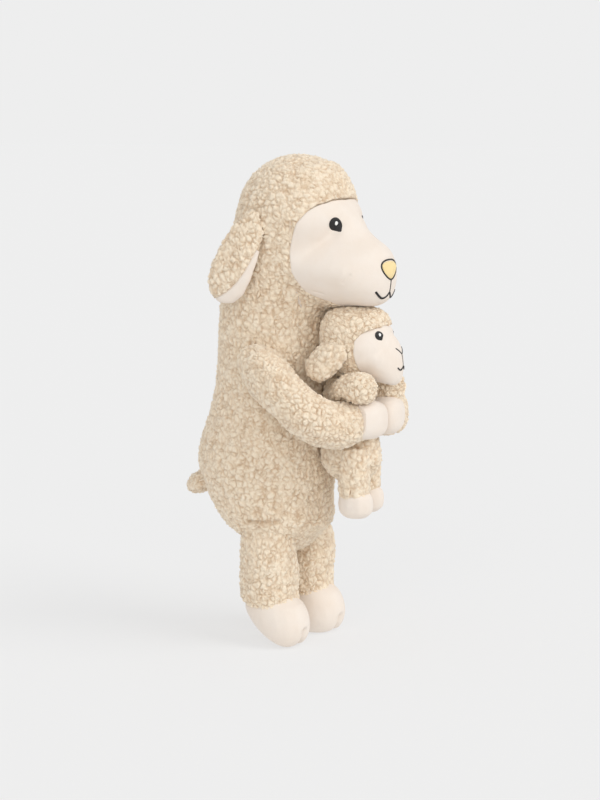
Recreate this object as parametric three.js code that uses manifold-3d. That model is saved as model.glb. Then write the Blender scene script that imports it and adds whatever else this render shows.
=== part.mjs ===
// A plush sheep that stands on two legs and holds a lamb of its own kind in both arms.
// Millimetres, +Z up. The sheep looks along -Y, so its right side lies on -X.
import * as THREE from "three";
import { mergeVertices } from "three/addons/utils/BufferGeometryUtils.js";
import Module from "manifold-3d";

const wasm = await Module();
wasm.setup();

// Cloth, thread and clearance, the same for every piece
const gap = 0.3;
const swingGap = 0.45;
const cloth = 2.6;
const stitch = 0.8;
const weld = 1e-4;

// The sheep's torso, from the crotch up to the neck seam
const torso = { bottom: 62, height: 208, radius: 58, setback: 32, collar: 20 };
torso.neck = torso.bottom + torso.height;
// Each row: height, setback of the middle, radius
const torsoShares = [
  [0, 0.4, 0],
  [0.036, 0.39, 0.5],
  [0.099, 0.39, 0.724],
  [0.147, 0.54, 0.8],
  [0.192, 0.66, 0.853],
  [0.264, 0.84, 0.9],
  [0.404, 1, 1],
  [0.5, 0.9, 0.975],
  [0.596, 0.82, 0.905],
  [0.692, 0.75, 0.845],
  [0.856, 0.7, 0.828],
  [1, 0.69, 0.81],
];

// The hood of the head, from the neck seam up to the crown
const head = { height: 127, radius: 50, setback: 22, root: 20 };
const headShares = [
  [0, 1, 0.94],
  [0.16, 0.82, 0.96],
  [0.32, 0.55, 0.98],
  [0.47, 0.28, 1],
  [0.61, 0.12, 1],
  [0.73, 0.06, 0.95],
  [0.85, 0.04, 0.8],
  [0.93, 0.04, 0.58],
  [0.982, 0.04, 0.3],
  [1, 0.04, 0],
];

// The smooth face: rings run forward from inside the hood to the tip of the muzzle.
// Its middle is measured up from the neck seam.
const face = { root: 10, tip: -83, rise: 45, halfHeight: 40.5, halfWidth: 45, widest: 3 };
face.middle = torso.neck + face.rise;
// Each row: way forward, drop of the middle, half height, half width
const faceShares = [
  [0, 0, 0, 0],
  [0.02, 0, 0.6, 0.6],
  [0.12, 0, 0.9, 0.9],
  [0.32, 0, 1, 1],
  [0.48, 0.02, 0.99, 0.99],
  [0.605, 0.03, 0.965, 0.95],
  [0.7, 0.11, 0.82, 0.89],
  [0.81, 0.25, 0.71, 0.8],
  [0.915, 0.31, 0.53, 0.68],
  [0.972, 0.33, 0.34, 0.49],
  [1, 0.27, 0, 0],
];

// An ear hangs from the side of the hood, its lining towards the head
const ear = { halfWidth: 18, pile: 6, lining: 3.4, sag: 4, turn: 14 };
// Its two ends: out and back by the head's radius, then up the head
ear.endShares = [
  [0.92, 0.16, 0.661],
  [1.26, 0.7, 0.071],
];
// Each row: way down the ear, half width, thickness
const earShares = [
  [0, 0, 0],
  [0.05, 0.42, 0.7],
  [0.2, 0.72, 1],
  [0.42, 0.93, 1],
  [0.66, 1, 1],
  [0.84, 0.88, 1],
  [0.95, 0.58, 0.8],
  [1, 0, 0],
];

// An arm goes from the shoulder round the lamb to the middle of its front
// Degrees through which it is kept clear of the lamb, and the number of steps that clears it
const arm = { radius: 20, wrist: 81, clearOf: 12, steps: 4 };
// The wrists hang that far below the neck seam. From there, in shares of the torso's radius:
// out to the side, forward, up
arm.pathShares = [
  [0.52, -0.28, 0.78],
  [0.86, -0.07, 0.64],
  [1.02, 0.48, 0.34],
  [0.81, 0.95, 0.07],
  [0.4, 1.16, 0],
];
arm.hingeShares = [0.793, -0.448, 0.638];
const armShares = [
  [0, 0],
  [0.05, 0.6],
  [0.16, 0.86],
  [0.3, 0.97],
  [0.45, 1],
  [0.6, 1],
  [0.75, 0.96],
  [0.89, 0.88],
  [0.97, 0.8],
  [1, 0],
];

// The hoof at the end of an arm: from the cuff to the middle, where the two meet
const handHoof = { halfHeight: 16, halfDepth: 15.5, press: 3 };
handHoof.pathShares = [
  [0.62, 1.07, 0],
  [0.31, 1.18, 0],
  [0, 1.21, 0],
];
// How round its section is, from a box at 0 to an ellipse at 1
handHoof.roundShare = 0.72;
const handHoofShares = [
  [0, 0],
  [0.08, 0.62],
  [0.3, 0.93],
  [0.6, 1],
  [0.82, 0.9],
  [0.94, 0.64],
  [1, 0],
];

// A leg, from the hip inside the torso's underside down to the hem over its hoof
const leg = { spread: 28, y: 12, inside: 48, hem: 30, radius: 24.5 };
leg.top = torso.bottom + leg.inside;
const legShares = [
  [0, 0],
  [0.03, 0.6],
  [0.12, 0.9],
  [0.35, 1],
  [0.6, 0.98],
  [0.82, 0.97],
  [0.94, 0.93],
  [1, 0],
];
// The torso's underside is rounded about the line through both hips, so that the legs swing free
const hip = { below: 5, reach: 48.1, halfWidth: 50.6 };

// The hoof of a foot, flat where it stands
const footHoof = { length: 57, width: 46, height: 43.5, ahead: 8, press: 2 };
footHoof.y = leg.y - footHoof.ahead;
// Each row: height, length, width
const footHoofShares = [
  [0, 0, 0],
  [0.02, 0.5, 0.5],
  [0.1, 0.8, 0.8],
  [0.27, 0.96, 0.96],
  [0.45, 1, 1],
  [0.65, 0.95, 0.98],
  [0.85, 0.78, 0.86],
  [0.96, 0.5, 0.55],
  [1, 0, 0],
];
const cleft = { width: 1.6, depth: 5, height: 12 };

// The stub of the tail, low on the back
const tail = { length: 32, radius: 10.5, y: 75, rise: 67, droop: 10 };
const tailShares = [
  [0, 0],
  [0.05, 0.75],
  [0.4, 0.95],
  [0.75, 1],
  [0.93, 0.7],
  [1, 0],
];

// Embroidery on the sheep's face, at heights measured from the face's middle
const eye = { x: 24, rise: 27, radius: 5.3, highlight: 1.9, highlightX: 0.8, highlightZ: 0.6 };
const nose = { drop: 8, halfWidth: 12, halfHeight: 8, outline: 1.3 };
// Half of the nose's outline from its tip up to the middle of its top: across, up
const noseShares = [
  [0, -1],
  [0.3, -0.8],
  [0.98, 0.1],
  [1, 0.55],
  [0.98, 1],
  [0.45, 1],
  [0, 0.94],
];
const mouth = { stroke: 1.7, drop: 28, halfWidth: 17.5, dip: 2.5, lift: 3 };
eye.z = face.middle + eye.rise;
nose.z = face.middle - nose.drop;
mouth.z = face.middle - mouth.drop;
const stitchReach = 12;

// The lamb's torso, a small pear held against the belly, sunk into it and hung under the chin
const lambTorso = { hang: 149, height: 104, radius: 25, sunk: 9, lean: 7 };
lambTorso.bottom = torso.neck - lambTorso.hang;
lambTorso.top = lambTorso.bottom + lambTorso.height;
lambTorso.y = lambTorso.sunk - torso.radius;
const lambTorsoShares = [
  [0, 0, 0],
  [0.05, 0, 0.5],
  [0.14, 0, 0.82],
  [0.27, 0, 1],
  [0.45, 0.3, 0.96],
  [0.65, 0.9, 0.8],
  [0.85, 1, 0.7],
  [0.96, 1, 0.5],
  [1, 1, 0],
];

// The lamb's head, a ball with a smooth face let into its front
const lambHead = { ahead: 5, rise: 21, radius: 30.5 };
lambHead.y = lambTorso.y - lambHead.ahead;
lambHead.z = lambTorso.top + lambHead.rise;
const lambFace = { behind: 14, ahead: 38, drop: 2.5, halfHeight: 25, halfWidth: 25.5, widest: 3 };
lambFace.root = lambHead.y + lambFace.behind;
lambFace.tip = lambHead.y - lambFace.ahead;
lambFace.middle = lambHead.z - lambFace.drop;
const lambFaceShares = [
  [0, 0, 0, 0],
  [0.04, 0, 0.6, 0.6],
  [0.2, 0, 0.92, 0.92],
  [0.45, 0, 1.02, 1],
  [0.6, 0.08, 0.97, 0.95],
  [0.74, 0.22, 0.9, 0.85],
  [0.87, 0.38, 0.74, 0.72],
  [0.955, 0.47, 0.45, 0.47],
  [1, 0.5, 0, 0],
];

// The lamb's ears, from the middle of its head: out, forward and up by the head's radius
const lambEar = { radius: 14, flat: 0.62 };
lambEar.pathShares = [
  [0.72, 0.13, 0.13],
  [1.05, -0.26, -0.26],
  [1.28, -0.69, -0.79],
];
// The lamb's arms, from the top of its torso: out, forward and up by the torso's radius
const lambArm = { radius: 13.5, swing: 20, steps: 6 };
lambArm.hingeShares = [0.72, -0.12, -0.68];
lambArm.pathShares = [
  [0.4, -0.2, -0.92],
  [0.96, 0.52, -0.52],
  [1.16, 1.44, -0.36],
];
// The lamb's legs, from the bottom of its torso: out, forward and up by the torso's radius
const lambLeg = { radius: 12.8, stagger: 3 };
lambLeg.pathShares = [
  [0.52, 0.04, 1.64],
  [0.6, 0.24, 0.84],
  [0.56, 0.28, 0.04],
];
const stubShares = [
  [0, 0],
  [0.06, 0.6],
  [0.22, 0.93],
  [0.5, 1],
  [0.78, 0.95],
  [0.93, 0.66],
  [1, 0],
];
const lambHoof = { height: 24, below: 13, halfLength: 15, halfWidth: 13.2, forward: 2 };

// Embroidery on the lamb's face, at heights measured from the face's middle
const lambEye = { x: 12.5, rise: 12, radius: 3.4, highlight: 1.1, highlightX: 0.4, highlightZ: 0.4 };
const lambNose = { drop: 3, halfWidth: 5.8, height: 6 };
const lambMouth = { stroke: 1.3, drop: 14, halfWidth: 6, dip: 1.4, lift: 1.4 };
lambEye.z = lambFace.middle + lambEye.rise;
lambNose.z = lambFace.middle - lambNose.drop;
lambMouth.z = lambFace.middle - lambMouth.drop;

// How finely the forms are drawn: corners round a ring
const fine = 24;
const middling = 16;
const coarse = 10;

const colours = {
  sherpa: 0xe3cfa8,
  velour: 0xf1d5b6,
  filling: 0xf6f4ee,
  black: 0x171413,
  white: 0xf7f7f4,
  yellow: 0xe3b54d,
};

// A material with the colour and roughness of one cloth or thread
function material(colour, roughness) {
  return new THREE.MeshStandardMaterial({ color: colour, roughness, metalness: 0 });
}

const across = new THREE.Vector3(1, 0, 0);
const forward = new THREE.Vector3(0, -1, 0);
const upward = new THREE.Vector3(0, 0, 1);

// A place from a centre by shares of a size: out to one side, forward, up.
// The side is -1 for the sheep's right and 1 for its left.
function placed([out, ahead, up], side, size, centre) {
  return new THREE.Vector3(side * out * size, centre.y - ahead * size, centre.z + up * size);
}

const wrist = new THREE.Vector3(0, 0, torso.neck - arm.wrist);
const onArm = (shares, side) => placed(shares, side, torso.radius, wrist);
const lambNeck = new THREE.Vector3(0, lambTorso.y, lambTorso.top);
const lambRump = new THREE.Vector3(0, lambTorso.y, lambTorso.bottom);
const onLambHead = (shares, side) => placed(shares, side, lambHead.radius, lambHead);
const onLambArm = (shares, side) => placed(shares, side, lambTorso.radius, lambNeck);
const onLambLeg = (shares, side) => placed(shares, side, lambTorso.radius, lambRump);

// The corners of a unit ring, anticlockwise, rounded by a share from a box at 0 to a circle at 1
function roundSection(sides, roundShare = 1) {
  const eased = (value) => Math.sign(value) * Math.abs(value) ** roundShare;
  return Array.from({ length: sides }, (_, i) => {
    const angle = (2 * Math.PI * i) / sides;
    return [eased(Math.cos(angle)), eased(Math.sin(angle))];
  });
}

// Half of the signed volume's sign tells which way the faces point
function pointsInward(positions, index) {
  const [a, b, c] = [new THREE.Vector3(), new THREE.Vector3(), new THREE.Vector3()];
  let volume = 0;
  for (let i = 0; i < index.length; i += 3) {
    a.fromArray(positions, 3 * index[i]);
    b.fromArray(positions, 3 * index[i + 1]);
    c.fromArray(positions, 3 * index[i + 2]);
    volume += a.dot(b.cross(c));
  }
  return volume < 0;
}

// A closed skin through rings whose first and last are points. Breadth says where a ring's width lies.
// A ring lies square to the path, or square to the facing direction where one is given.
function skin(stations, section, breadth = across, facing = undefined) {
  const sides = section.length;
  const last = stations.length - 1;
  const positions = [...stations[0].at];
  for (let i = 1; i < last; i += 1) {
    const run = stations[i + 1].at.clone().sub(stations[i - 1].at).normalize();
    const along = facing ?? run;
    const width = breadth.clone().addScaledVector(along, -breadth.dot(along)).normalize();
    const depth = along.clone().cross(width);
    for (const [a, b] of section) {
      const corner = stations[i].at.clone();
      corner.addScaledVector(width, a * stations[i].wide);
      corner.addScaledVector(depth, b * stations[i].deep);
      positions.push(...corner);
    }
  }
  positions.push(...stations[last].at);
  const index = [];
  const end = positions.length / 3 - 1;
  const corner = (ring, j) => 1 + ring * sides + (j % sides);
  for (let j = 0; j < sides; j += 1) {
    index.push(0, corner(0, j + 1), corner(0, j));
    for (let ring = 0; ring < last - 2; ring += 1) {
      const [p, q] = [corner(ring, j), corner(ring, j + 1)];
      const [r, s] = [corner(ring + 1, j), corner(ring + 1, j + 1)];
      index.push(p, q, s, p, s, r);
    }
    index.push(end, corner(last - 2, j), corner(last - 2, j + 1));
  }
  if (pointsInward(positions, index)) index.reverse();
  const geometry = new THREE.BufferGeometry();
  geometry.setAttribute("position", new THREE.Float32BufferAttribute(positions, 3));
  geometry.setIndex(index);
  return geometry;
}

// The same skin moved out along its own normals, or in when the distance is negative
function grown(geometry, distance) {
  const moved = geometry.clone();
  moved.computeVertexNormals();
  const position = moved.getAttribute("position");
  const normal = moved.getAttribute("normal");
  for (let i = 0; i < position.count; i += 1) {
    const out = new THREE.Vector3().fromBufferAttribute(normal, i);
    const point = new THREE.Vector3().fromBufferAttribute(position, i);
    point.addScaledVector(out, distance);
    position.setXYZ(i, point.x, point.y, point.z);
  }
  return moved;
}

// A geometry as a solid that can be joined and cut
function solid(geometry) {
  const bare = geometry.clone();
  bare.deleteAttribute("normal");
  bare.deleteAttribute("uv");
  const merged = mergeVertices(bare, weld);
  return new wasm.Manifold(
    new wasm.Mesh({
      numProp: 3,
      vertProperties: new Float32Array(merged.getAttribute("position").array),
      triVerts: new Uint32Array(merged.index.array),
    }),
  );
}

// The largest body of a cut solid, without the crumbs that a cut leaves
function largest(shape) {
  return shape.decompose().reduce((best, body) => (body.volume() > best.volume() ? body : best));
}

function joined(shapes) {
  return shapes.reduce((all, shape) => all.add(shape));
}

function without(shape, cutters) {
  return cutters.reduce((rest, cutter) => rest.subtract(cutter), shape);
}

// A named mesh of a solid
function piece(name, shape, colour, roughness) {
  const made = largest(shape).getMesh();
  const geometry = new THREE.BufferGeometry();
  geometry.setAttribute("position", new THREE.BufferAttribute(made.vertProperties, made.numProp));
  geometry.setIndex(new THREE.BufferAttribute(made.triVerts, 1));
  const mesh = new THREE.Mesh(geometry, material(colour, roughness));
  mesh.name = name;
  return mesh;
}

const sherpaPiece = (name, shape) => piece(name, shape, colours.sherpa, 0.95);
const velourPiece = (name, shape) => piece(name, shape, colours.velour, 0.8);
const fillingPiece = (name, shape) => piece(name, shape, colours.filling, 1);
const threadPiece = (name, shape, colour) => piece(name, shape, colour, 0.6);

// A box between two corners, for flat cuts
function block(low, high) {
  const size = high.clone().sub(low);
  const geometry = new THREE.BoxGeometry(size.x, size.y, size.z);
  geometry.translate(...low.clone().add(high).multiplyScalar(1 / 2));
  return solid(geometry);
}

// A solid turned about an axis through a point, by degrees
function turned(geometry, pivot, axis, degrees) {
  const copy = geometry.clone();
  copy.translate(-pivot.x, -pivot.y, -pivot.z);
  copy.applyMatrix4(new THREE.Matrix4().makeRotationAxis(axis, THREE.MathUtils.degToRad(degrees)));
  copy.translate(pivot.x, pivot.y, pivot.z);
  return copy;
}

// The room that forms sweep as they turn about an axis, in steps
function sweep(forms, pivot, axis, degrees, steps) {
  const made = [];
  for (let i = 0; i <= steps; i += 1) {
    const angle = (degrees * i) / steps;
    for (const form of forms) made.push(solid(turned(grown(form, swingGap), pivot, axis, angle)));
  }
  return made;
}

// Skins sewn edge to edge round one filling. Of two that meet, the first gives way to the second,
// and it is left out altogether where the second's opening is.
function sewn([first, second], [firstInside, secondInside], larger, opening = []) {
  const inside = (depth) =>
    without(solid(grown(firstInside, -depth)), opening).add(solid(grown(secondInside, -depth)));
  const hollow = inside(cloth);
  return {
    first: without(solid(first), [hollow, solid(grown(second, gap)), ...opening, ...larger]),
    second: without(solid(second), [hollow, ...larger]),
    filling: without(inside(cloth + gap), larger),
  };
}

// One skin round its filling, open where a larger piece takes its end away
function stuffed(form, lining, larger) {
  return {
    cover: without(solid(form), [solid(grown(lining, -cloth)), ...larger]),
    filling: without(solid(grown(lining, -cloth - gap)), larger),
  };
}

function torsoForm(sides) {
    const rows = torsoShares.map(([up, back, round]) => ({
    at: new THREE.Vector3(0, back * torso.setback, torso.bottom + up * torso.height),
    wide: round * torso.radius,
    deep: round * torso.radius,
  }));
  const seam = rows[rows.length - 1];
  const above = new THREE.Vector3(0, 0, torso.collar);
  rows.push({ ...seam, at: seam.at.clone().add(above) });
  rows.push({ at: seam.at.clone().addScaledVector(above, 2), wide: 0, deep: 0 });
  return skin(rows, roundSection(sides), across, upward);
}

function headForm(sides) {
    const rows = headShares.map(([up, back, round]) => ({
    at: new THREE.Vector3(0, back * head.setback, torso.neck + up * head.height),
    wide: round * head.radius,
    deep: round * head.radius,
  }));
  const seam = rows[0];
  const below = new THREE.Vector3(0, 0, -head.root);
  rows.unshift({ ...seam, at: seam.at.clone().add(below) });
  rows.unshift({ at: seam.at.clone().addScaledVector(below, 2), wide: 0, deep: 0 });
  return skin(rows, roundSection(sides), across, upward);
}

// Rings that run forward and down: a muzzle
function muzzleForm(sizes, shares, sides) {
  const rows = shares.map(([ahead, drop, tall, wide]) => ({
    at: new THREE.Vector3(
      0,
      sizes.root + ahead * (sizes.tip - sizes.root),
      sizes.middle - drop * sizes.halfHeight,
    ),
    wide: wide * sizes.halfWidth,
    deep: tall * sizes.halfHeight,
  }));
  return skin(rows, roundSection(sides), across, forward);
}

// A round limb along a path of a few places
function limbForm(path, radius, shares, section, flat = 1, breadth = across) {
  const curve = new THREE.CatmullRomCurve3(path);
  const rows = shares.map(([along, round]) => ({
    at: curve.getPointAt(along),
    wide: round * radius,
    deep: round * radius * flat,
  }));
  return skin(rows, section, breadth);
}

// The forms that several pieces are cut by
const torsoSkin = torsoForm(fine);
const headSkin = headForm(fine);
const faceSkin = muzzleForm(face, faceShares, fine);
const lambHeadSkin = ballForm(middling);
const lambFaceSkin = muzzleForm(lambFace, lambFaceShares, middling);
const lambTorsoSkin = pearForm(middling);

function clear(forms) {
  return forms.map((form) => solid(grown(form, gap)));
}

// Everything on one side of the neck seam, as wide as both the torso and the head
function beyondSeam(up) {
  const reach = 2 * (torso.radius + torso.setback);
  const [low, high] = up > 0 ? [gap / 2, reach] : [-reach, -gap / 2];
  return block(
    new THREE.Vector3(-reach, -reach, torso.neck - (up > 0 ? gap : 0) + low),
    new THREE.Vector3(reach, reach, torso.neck + (up > 0 ? 0 : gap) + high),
  );
}

function torsoPieces() {
  const { cover, filling } = stuffed(torsoSkin, torsoForm(coarse), [beyondSeam(1)]);
  return [sherpaPiece("torso_cover", cover), fillingPiece("torso_filling", filling)];
}

// The hole in a hood that its face fills, from the face's widest ring forward
function faceOpening(sizes, shares, sides) {
  const [ahead, , tall, wide] = shares[sizes.widest];
  const [w, h] = [wide * sizes.halfWidth + gap, tall * sizes.halfHeight + gap];
  const outline = roundSection(sides).map(([a, b]) => new THREE.Vector2(a * w, b * h));
  const depth = Math.abs(sizes.tip - sizes.root);
  const geometry = new THREE.ExtrudeGeometry(new THREE.Shape(outline), {
    depth,
    bevelEnabled: false,
  });
  geometry.rotateX(Math.PI / 2);
  geometry.translate(0, sizes.root + ahead * (sizes.tip - sizes.root), sizes.middle);
  return solid(geometry);
}

function headPieces() {
  const linings = [headForm(coarse), muzzleForm(face, faceShares, coarse)];
  const opening = [faceOpening(face, faceShares, fine)];
  const { first, second, filling } = sewn([headSkin, faceSkin], linings, [beyondSeam(-1)], opening);
  return [
    sherpaPiece("head_cover", first),
    velourPiece("face_panel", second),
    fillingPiece("head_filling", filling),
  ];
}

// A ball drawn as rings from its lowest point up
function ballForm(sides) {
  const { y, z, radius } = lambHead;
  const turns = middling / 2;
  const rows = Array.from({ length: turns + 1 }, (_, i) => {
    const angle = (Math.PI * i) / turns;
    const round = i % turns === 0 ? 0 : Math.sin(angle) * radius;
    return { at: new THREE.Vector3(0, y, z - Math.cos(angle) * radius), wide: round, deep: round };
  });
  return skin(rows, roundSection(sides));
}

function pearForm(sides) {
  const { bottom, height, radius, y, lean } = lambTorso;
  const rows = lambTorsoShares.map(([up, back, round]) => ({
    at: new THREE.Vector3(0, y + back * lean, bottom + up * height),
    wide: round * radius,
    deep: round * radius,
  }));
  return skin(rows, roundSection(sides));
}

// Half of an ear's thickness over its curled middle: lift 1 is the outside and -1 the lining
function leafSection(lift) {
  const half = middling / 2;
  const over = Array.from({ length: half + 1 }, (_, i) => {
    const angle = (Math.PI * i) / half;
    return [Math.cos(angle), lift * Math.sin(angle)];
  });
  const under = Array.from({ length: half - 1 }, (_, i) => {
    const angle = Math.PI * (1 - (i + 1) / half);
    return [Math.cos(angle), 0];
  });
  return [...over, ...under];
}

// One layer of an ear, lifted off the other by the offset
function earLayer(side, thickness, lift, offset) {
  const [root, tip] = ear.endShares.map(([out, back, up]) => {
    const height = torso.neck + up * head.height;
    return new THREE.Vector3(side * out * head.radius, back * head.radius, height);
  });
  const middle = root.clone().lerp(tip, 1 / 2).add(new THREE.Vector3(side * ear.sag, 0, 0));
  const curve = new THREE.CatmullRomCurve3([root, middle, tip]);
  const turn = THREE.MathUtils.degToRad(ear.turn);
  const breadth = new THREE.Vector3(Math.sin(turn), side * Math.cos(turn), 0);
  const out = new THREE.Vector3(side * Math.cos(turn), -Math.sin(turn), 0);
  const rows = earShares.map(([along, wide, thick]) => ({
    at: curve.getPointAt(along).addScaledVector(out, offset),
    wide: wide * ear.halfWidth,
    deep: thick * thickness,
  }));
  return skin(rows, leafSection(lift), breadth);
}

function earPieces(side, word) {
  const larger = clear([headSkin]);
  const outside = solid(earLayer(side, ear.pile, 1, 0));
  const lining = solid(earLayer(side, ear.lining, -1, -gap));
  return [
    sherpaPiece("ear_" + word, without(outside, larger)),
    velourPiece("ear_lining_" + word, without(lining, larger)),
  ];
}

function sleeveForm(side, sides) {
  const path = arm.pathShares.map((shares) => onArm(shares, side));
  return limbForm(path, arm.radius, armShares, roundSection(sides));
}

function handHoofForm(side, sides) {
  const path = handHoof.pathShares.map((shares) => onArm(shares, side));
  path[path.length - 1].x = -side * handHoof.press;
  const flat = handHoof.halfHeight / handHoof.halfDepth;
  const section = roundSection(sides, handHoof.roundShare);
  return limbForm(path, handHoof.halfDepth, handHoofShares, section, flat, forward);
}

// Everything past the sheep's middle, where the two hooves of the arms meet
function pastMiddle(side) {
  const reach = arm.radius + handHoof.halfDepth;
  const [near, far] = [-gap / 2, reach].map((x) => -side * x);
  const { y, z } = onArm(handHoof.pathShares[2], side);
  return block(
    new THREE.Vector3(Math.min(near, far), y - reach, z - reach),
    new THREE.Vector3(Math.max(near, far), y + reach, z + reach),
  );
}

// The room that an arm takes as it starts to open
function armSweep(side, steps) {
  const forms = [sleeveForm(side, middling), handHoofForm(side, middling)];
  const axis = new THREE.Vector3(0, 0, side);
  return sweep(forms, onArm(arm.hingeShares, side), axis, arm.clearOf, steps);
}

function armPieces(side, word) {
  const forms = [sleeveForm(side, middling), handHoofForm(side, middling)];
  const linings = [sleeveForm(side, coarse), handHoofForm(side, coarse)];
  const larger = [...clear([torsoSkin]), pastMiddle(side)];
  const { first, second, filling } = sewn(forms, linings, larger);
  return [
    sherpaPiece("arm_cover_" + word, first),
    velourPiece("hand_hoof_" + word, second),
    fillingPiece("arm_filling_" + word, filling),
  ];
}

function legForm(side, sides) {
  const place = (z) => new THREE.Vector3(side * leg.spread, leg.y, z);
  const path = [leg.top, (leg.top + leg.hem) / 2, leg.hem].map(place);
  return limbForm(path, leg.radius, legShares, roundSection(sides));
}

function footHoofForm(side, sides) {
  const rows = footHoofShares.map(([up, long, wide]) => ({
    at: new THREE.Vector3(side * leg.spread, footHoof.y, up * footHoof.height - footHoof.press),
    wide: (wide * footHoof.width) / 2,
    deep: (long * footHoof.length) / 2,
  }));
  return skin(rows, roundSection(sides));
}

// The ground, and the cleft between the two toes of a hoof
function underFoot(side) {
  const reach = footHoof.length;
  const x = side * leg.spread;
  const front = footHoof.y - footHoof.length / 2;
  const floor = block(
    new THREE.Vector3(x - reach, footHoof.y - reach, -reach),
    new THREE.Vector3(x + reach, footHoof.y + reach, 0),
  );
  const split = block(
    new THREE.Vector3(x - cleft.width / 2, front - cleft.depth, -cleft.depth),
    new THREE.Vector3(x + cleft.width / 2, front + cleft.depth, cleft.height),
  );
  return [floor, split];
}

// The rounded room that both hips turn about, which holds the torso's underside
function hipRound() {
  const turns = middling / 2;
  const rows = Array.from({ length: turns + 1 }, (_, i) => {
    const angle = (Math.PI * i) / turns;
    const round = i % turns === 0 ? 0 : Math.sin(angle) * hip.reach;
    return {
      at: new THREE.Vector3(-Math.cos(angle) * hip.halfWidth, leg.y, leg.top - hip.below),
      wide: round,
      deep: round,
    };
  });
  return skin(rows, roundSection(2 * middling), forward);
}

function legPieces(side, word) {
  const larger = clear([torsoSkin, hipRound()]);
  const forms = [legForm(side, middling), footHoofForm(side, middling)];
  const linings = [legForm(side, coarse), footHoofForm(side, coarse)];
  const { first, second, filling } = sewn(forms, linings, larger);
  return [
    sherpaPiece("leg_cover_" + word, first),
    velourPiece("foot_hoof_" + word, without(second, underFoot(side))),
    fillingPiece("leg_filling_" + word, filling),
  ];
}

function tailPieces() {
  const root = new THREE.Vector3(0, tail.y, torso.bottom + tail.rise);
  const tip = root.clone().add(new THREE.Vector3(0, tail.length, -tail.droop));
  const path = [root, root.clone().lerp(tip, 1 / 2), tip];
  const form = limbForm(path, tail.radius, tailShares, roundSection(coarse));
  return [sherpaPiece("tail", without(solid(form), clear([torsoSkin])))];
}

// The layer that thread fills over a cloth, for the first or the second row of stitches
function threadLayer(surface, row) {
  const under = gap + row * (gap + stitch);
  return solid(grown(surface, under + stitch)).subtract(solid(grown(surface, under)));
}

// Where a line straight back from the front meets a surface, and the way it faces there
function onSurface(surface, x, z) {
  const mesh = new THREE.Mesh(surface);
  const start = new THREE.Vector3(x, 2 * face.tip, z);
  const hit = new THREE.Raycaster(start, new THREE.Vector3(0, 1, 0)).intersectObject(mesh)[0];
  return { at: hit.point, facing: hit.face.normal };
}

// An outline pushed into a surface along the way that it faces
function prism(outline, place) {
  const geometry = new THREE.ExtrudeGeometry(outline, {
    depth: 2 * stitchReach,
    bevelEnabled: false,
    curveSegments: coarse / 2,
  });
  geometry.translate(0, 0, -stitchReach);
  const right = new THREE.Vector3(0, 0, 1).cross(place.facing).normalize();
  const up = place.facing.clone().cross(right);
  geometry.applyMatrix4(new THREE.Matrix4().makeBasis(right, up, place.facing));
  geometry.translate(...place.at);
  return solid(geometry);
}

function disc(radius, x, y) {
  const outline = new THREE.Shape();
  outline.absarc(x, y, radius, 0, 2 * Math.PI);
  return outline;
}

// A line of thread of one width, through a few places drawn as one curve
function stroke(places, width) {
  const points = new THREE.SplineCurve(places).getPoints(places.length > 2 ? coarse : 1);
  const edge = (way) =>
    points.map((point, i) => {
      const before = points[Math.max(i - 1, 0)];
      const after = points[Math.min(i + 1, points.length - 1)];
      const along = after.clone().sub(before).normalize();
      const out = new THREE.Vector2(-along.y, along.x).multiplyScalar((way * width) / 2);
      return point.clone().add(out);
    });
  return new THREE.Shape([...edge(1), ...edge(-1).reverse()]);
}

function eyePieces(sizes, surface, side, names) {
  const place = onSurface(surface, side * sizes.x, sizes.z);
  const pupil = prism(disc(sizes.radius, 0, 0), place);
  const spot = prism(disc(sizes.highlight, -side * sizes.highlightX, sizes.highlightZ), place);
  return [
    threadPiece(names[0], threadLayer(surface, 0).intersect(pupil), colours.black),
    threadPiece(names[1], threadLayer(surface, 1).intersect(spot), colours.white),
  ];
}

// The nose's rounded triangle, larger all round by the margin
function noseOutline(margin) {
  const [w, h] = [nose.halfWidth + margin, nose.halfHeight + margin];
  const half = noseShares.map(([across, up]) => [across * w, up * h]);
  const [tip, b, c, corner, d, e, top] = half;
  const outline = new THREE.Shape();
  outline.moveTo(...tip);
  outline.bezierCurveTo(...b, ...c, ...corner);
  outline.bezierCurveTo(...d, ...e, ...top);
  const mirror = ([across, up]) => [-across, up];
  outline.bezierCurveTo(...mirror(e), ...mirror(d), ...mirror(corner));
  outline.bezierCurveTo(...mirror(c), ...mirror(b), ...tip);
  return outline;
}

// A smile: a line down from the top, then a curve to each side
function smile(sizes, top) {
  const foot = new THREE.Vector2(0, 0);
  const line = stroke([new THREE.Vector2(0, top), foot], sizes.stroke);
  const curves = [-1, 1].map((side) => {
    const low = new THREE.Vector2((side * sizes.halfWidth) / 2, -sizes.dip);
    const end = new THREE.Vector2(side * sizes.halfWidth, sizes.lift);
    return stroke([foot, low, end], sizes.stroke);
  });
  return [line, ...curves];
}

function muzzlePieces() {
  const layer = threadLayer(faceSkin, 0);
  const front = new THREE.Vector3(0, -1, 0);
  const place = { ...onSurface(faceSkin, 0, nose.z), facing: front };
  const ring = noseOutline(gap + nose.outline);
  ring.holes.push(noseOutline(gap));
  const lip = { ...onSurface(faceSkin, 0, mouth.z), facing: front };
  const top = nose.z - nose.halfHeight - nose.outline - 2 * gap - mouth.z;
  const lines = joined(smile(mouth, top).map((outline) => prism(outline, lip)));
  return [
    threadPiece("nose_patch", layer.intersect(prism(noseOutline(0), place)), colours.yellow),
    threadPiece("nose_outline", layer.intersect(prism(ring, place)), colours.black),
    threadPiece("mouth_thread", layer.intersect(lines), colours.black),
  ];
}

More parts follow.
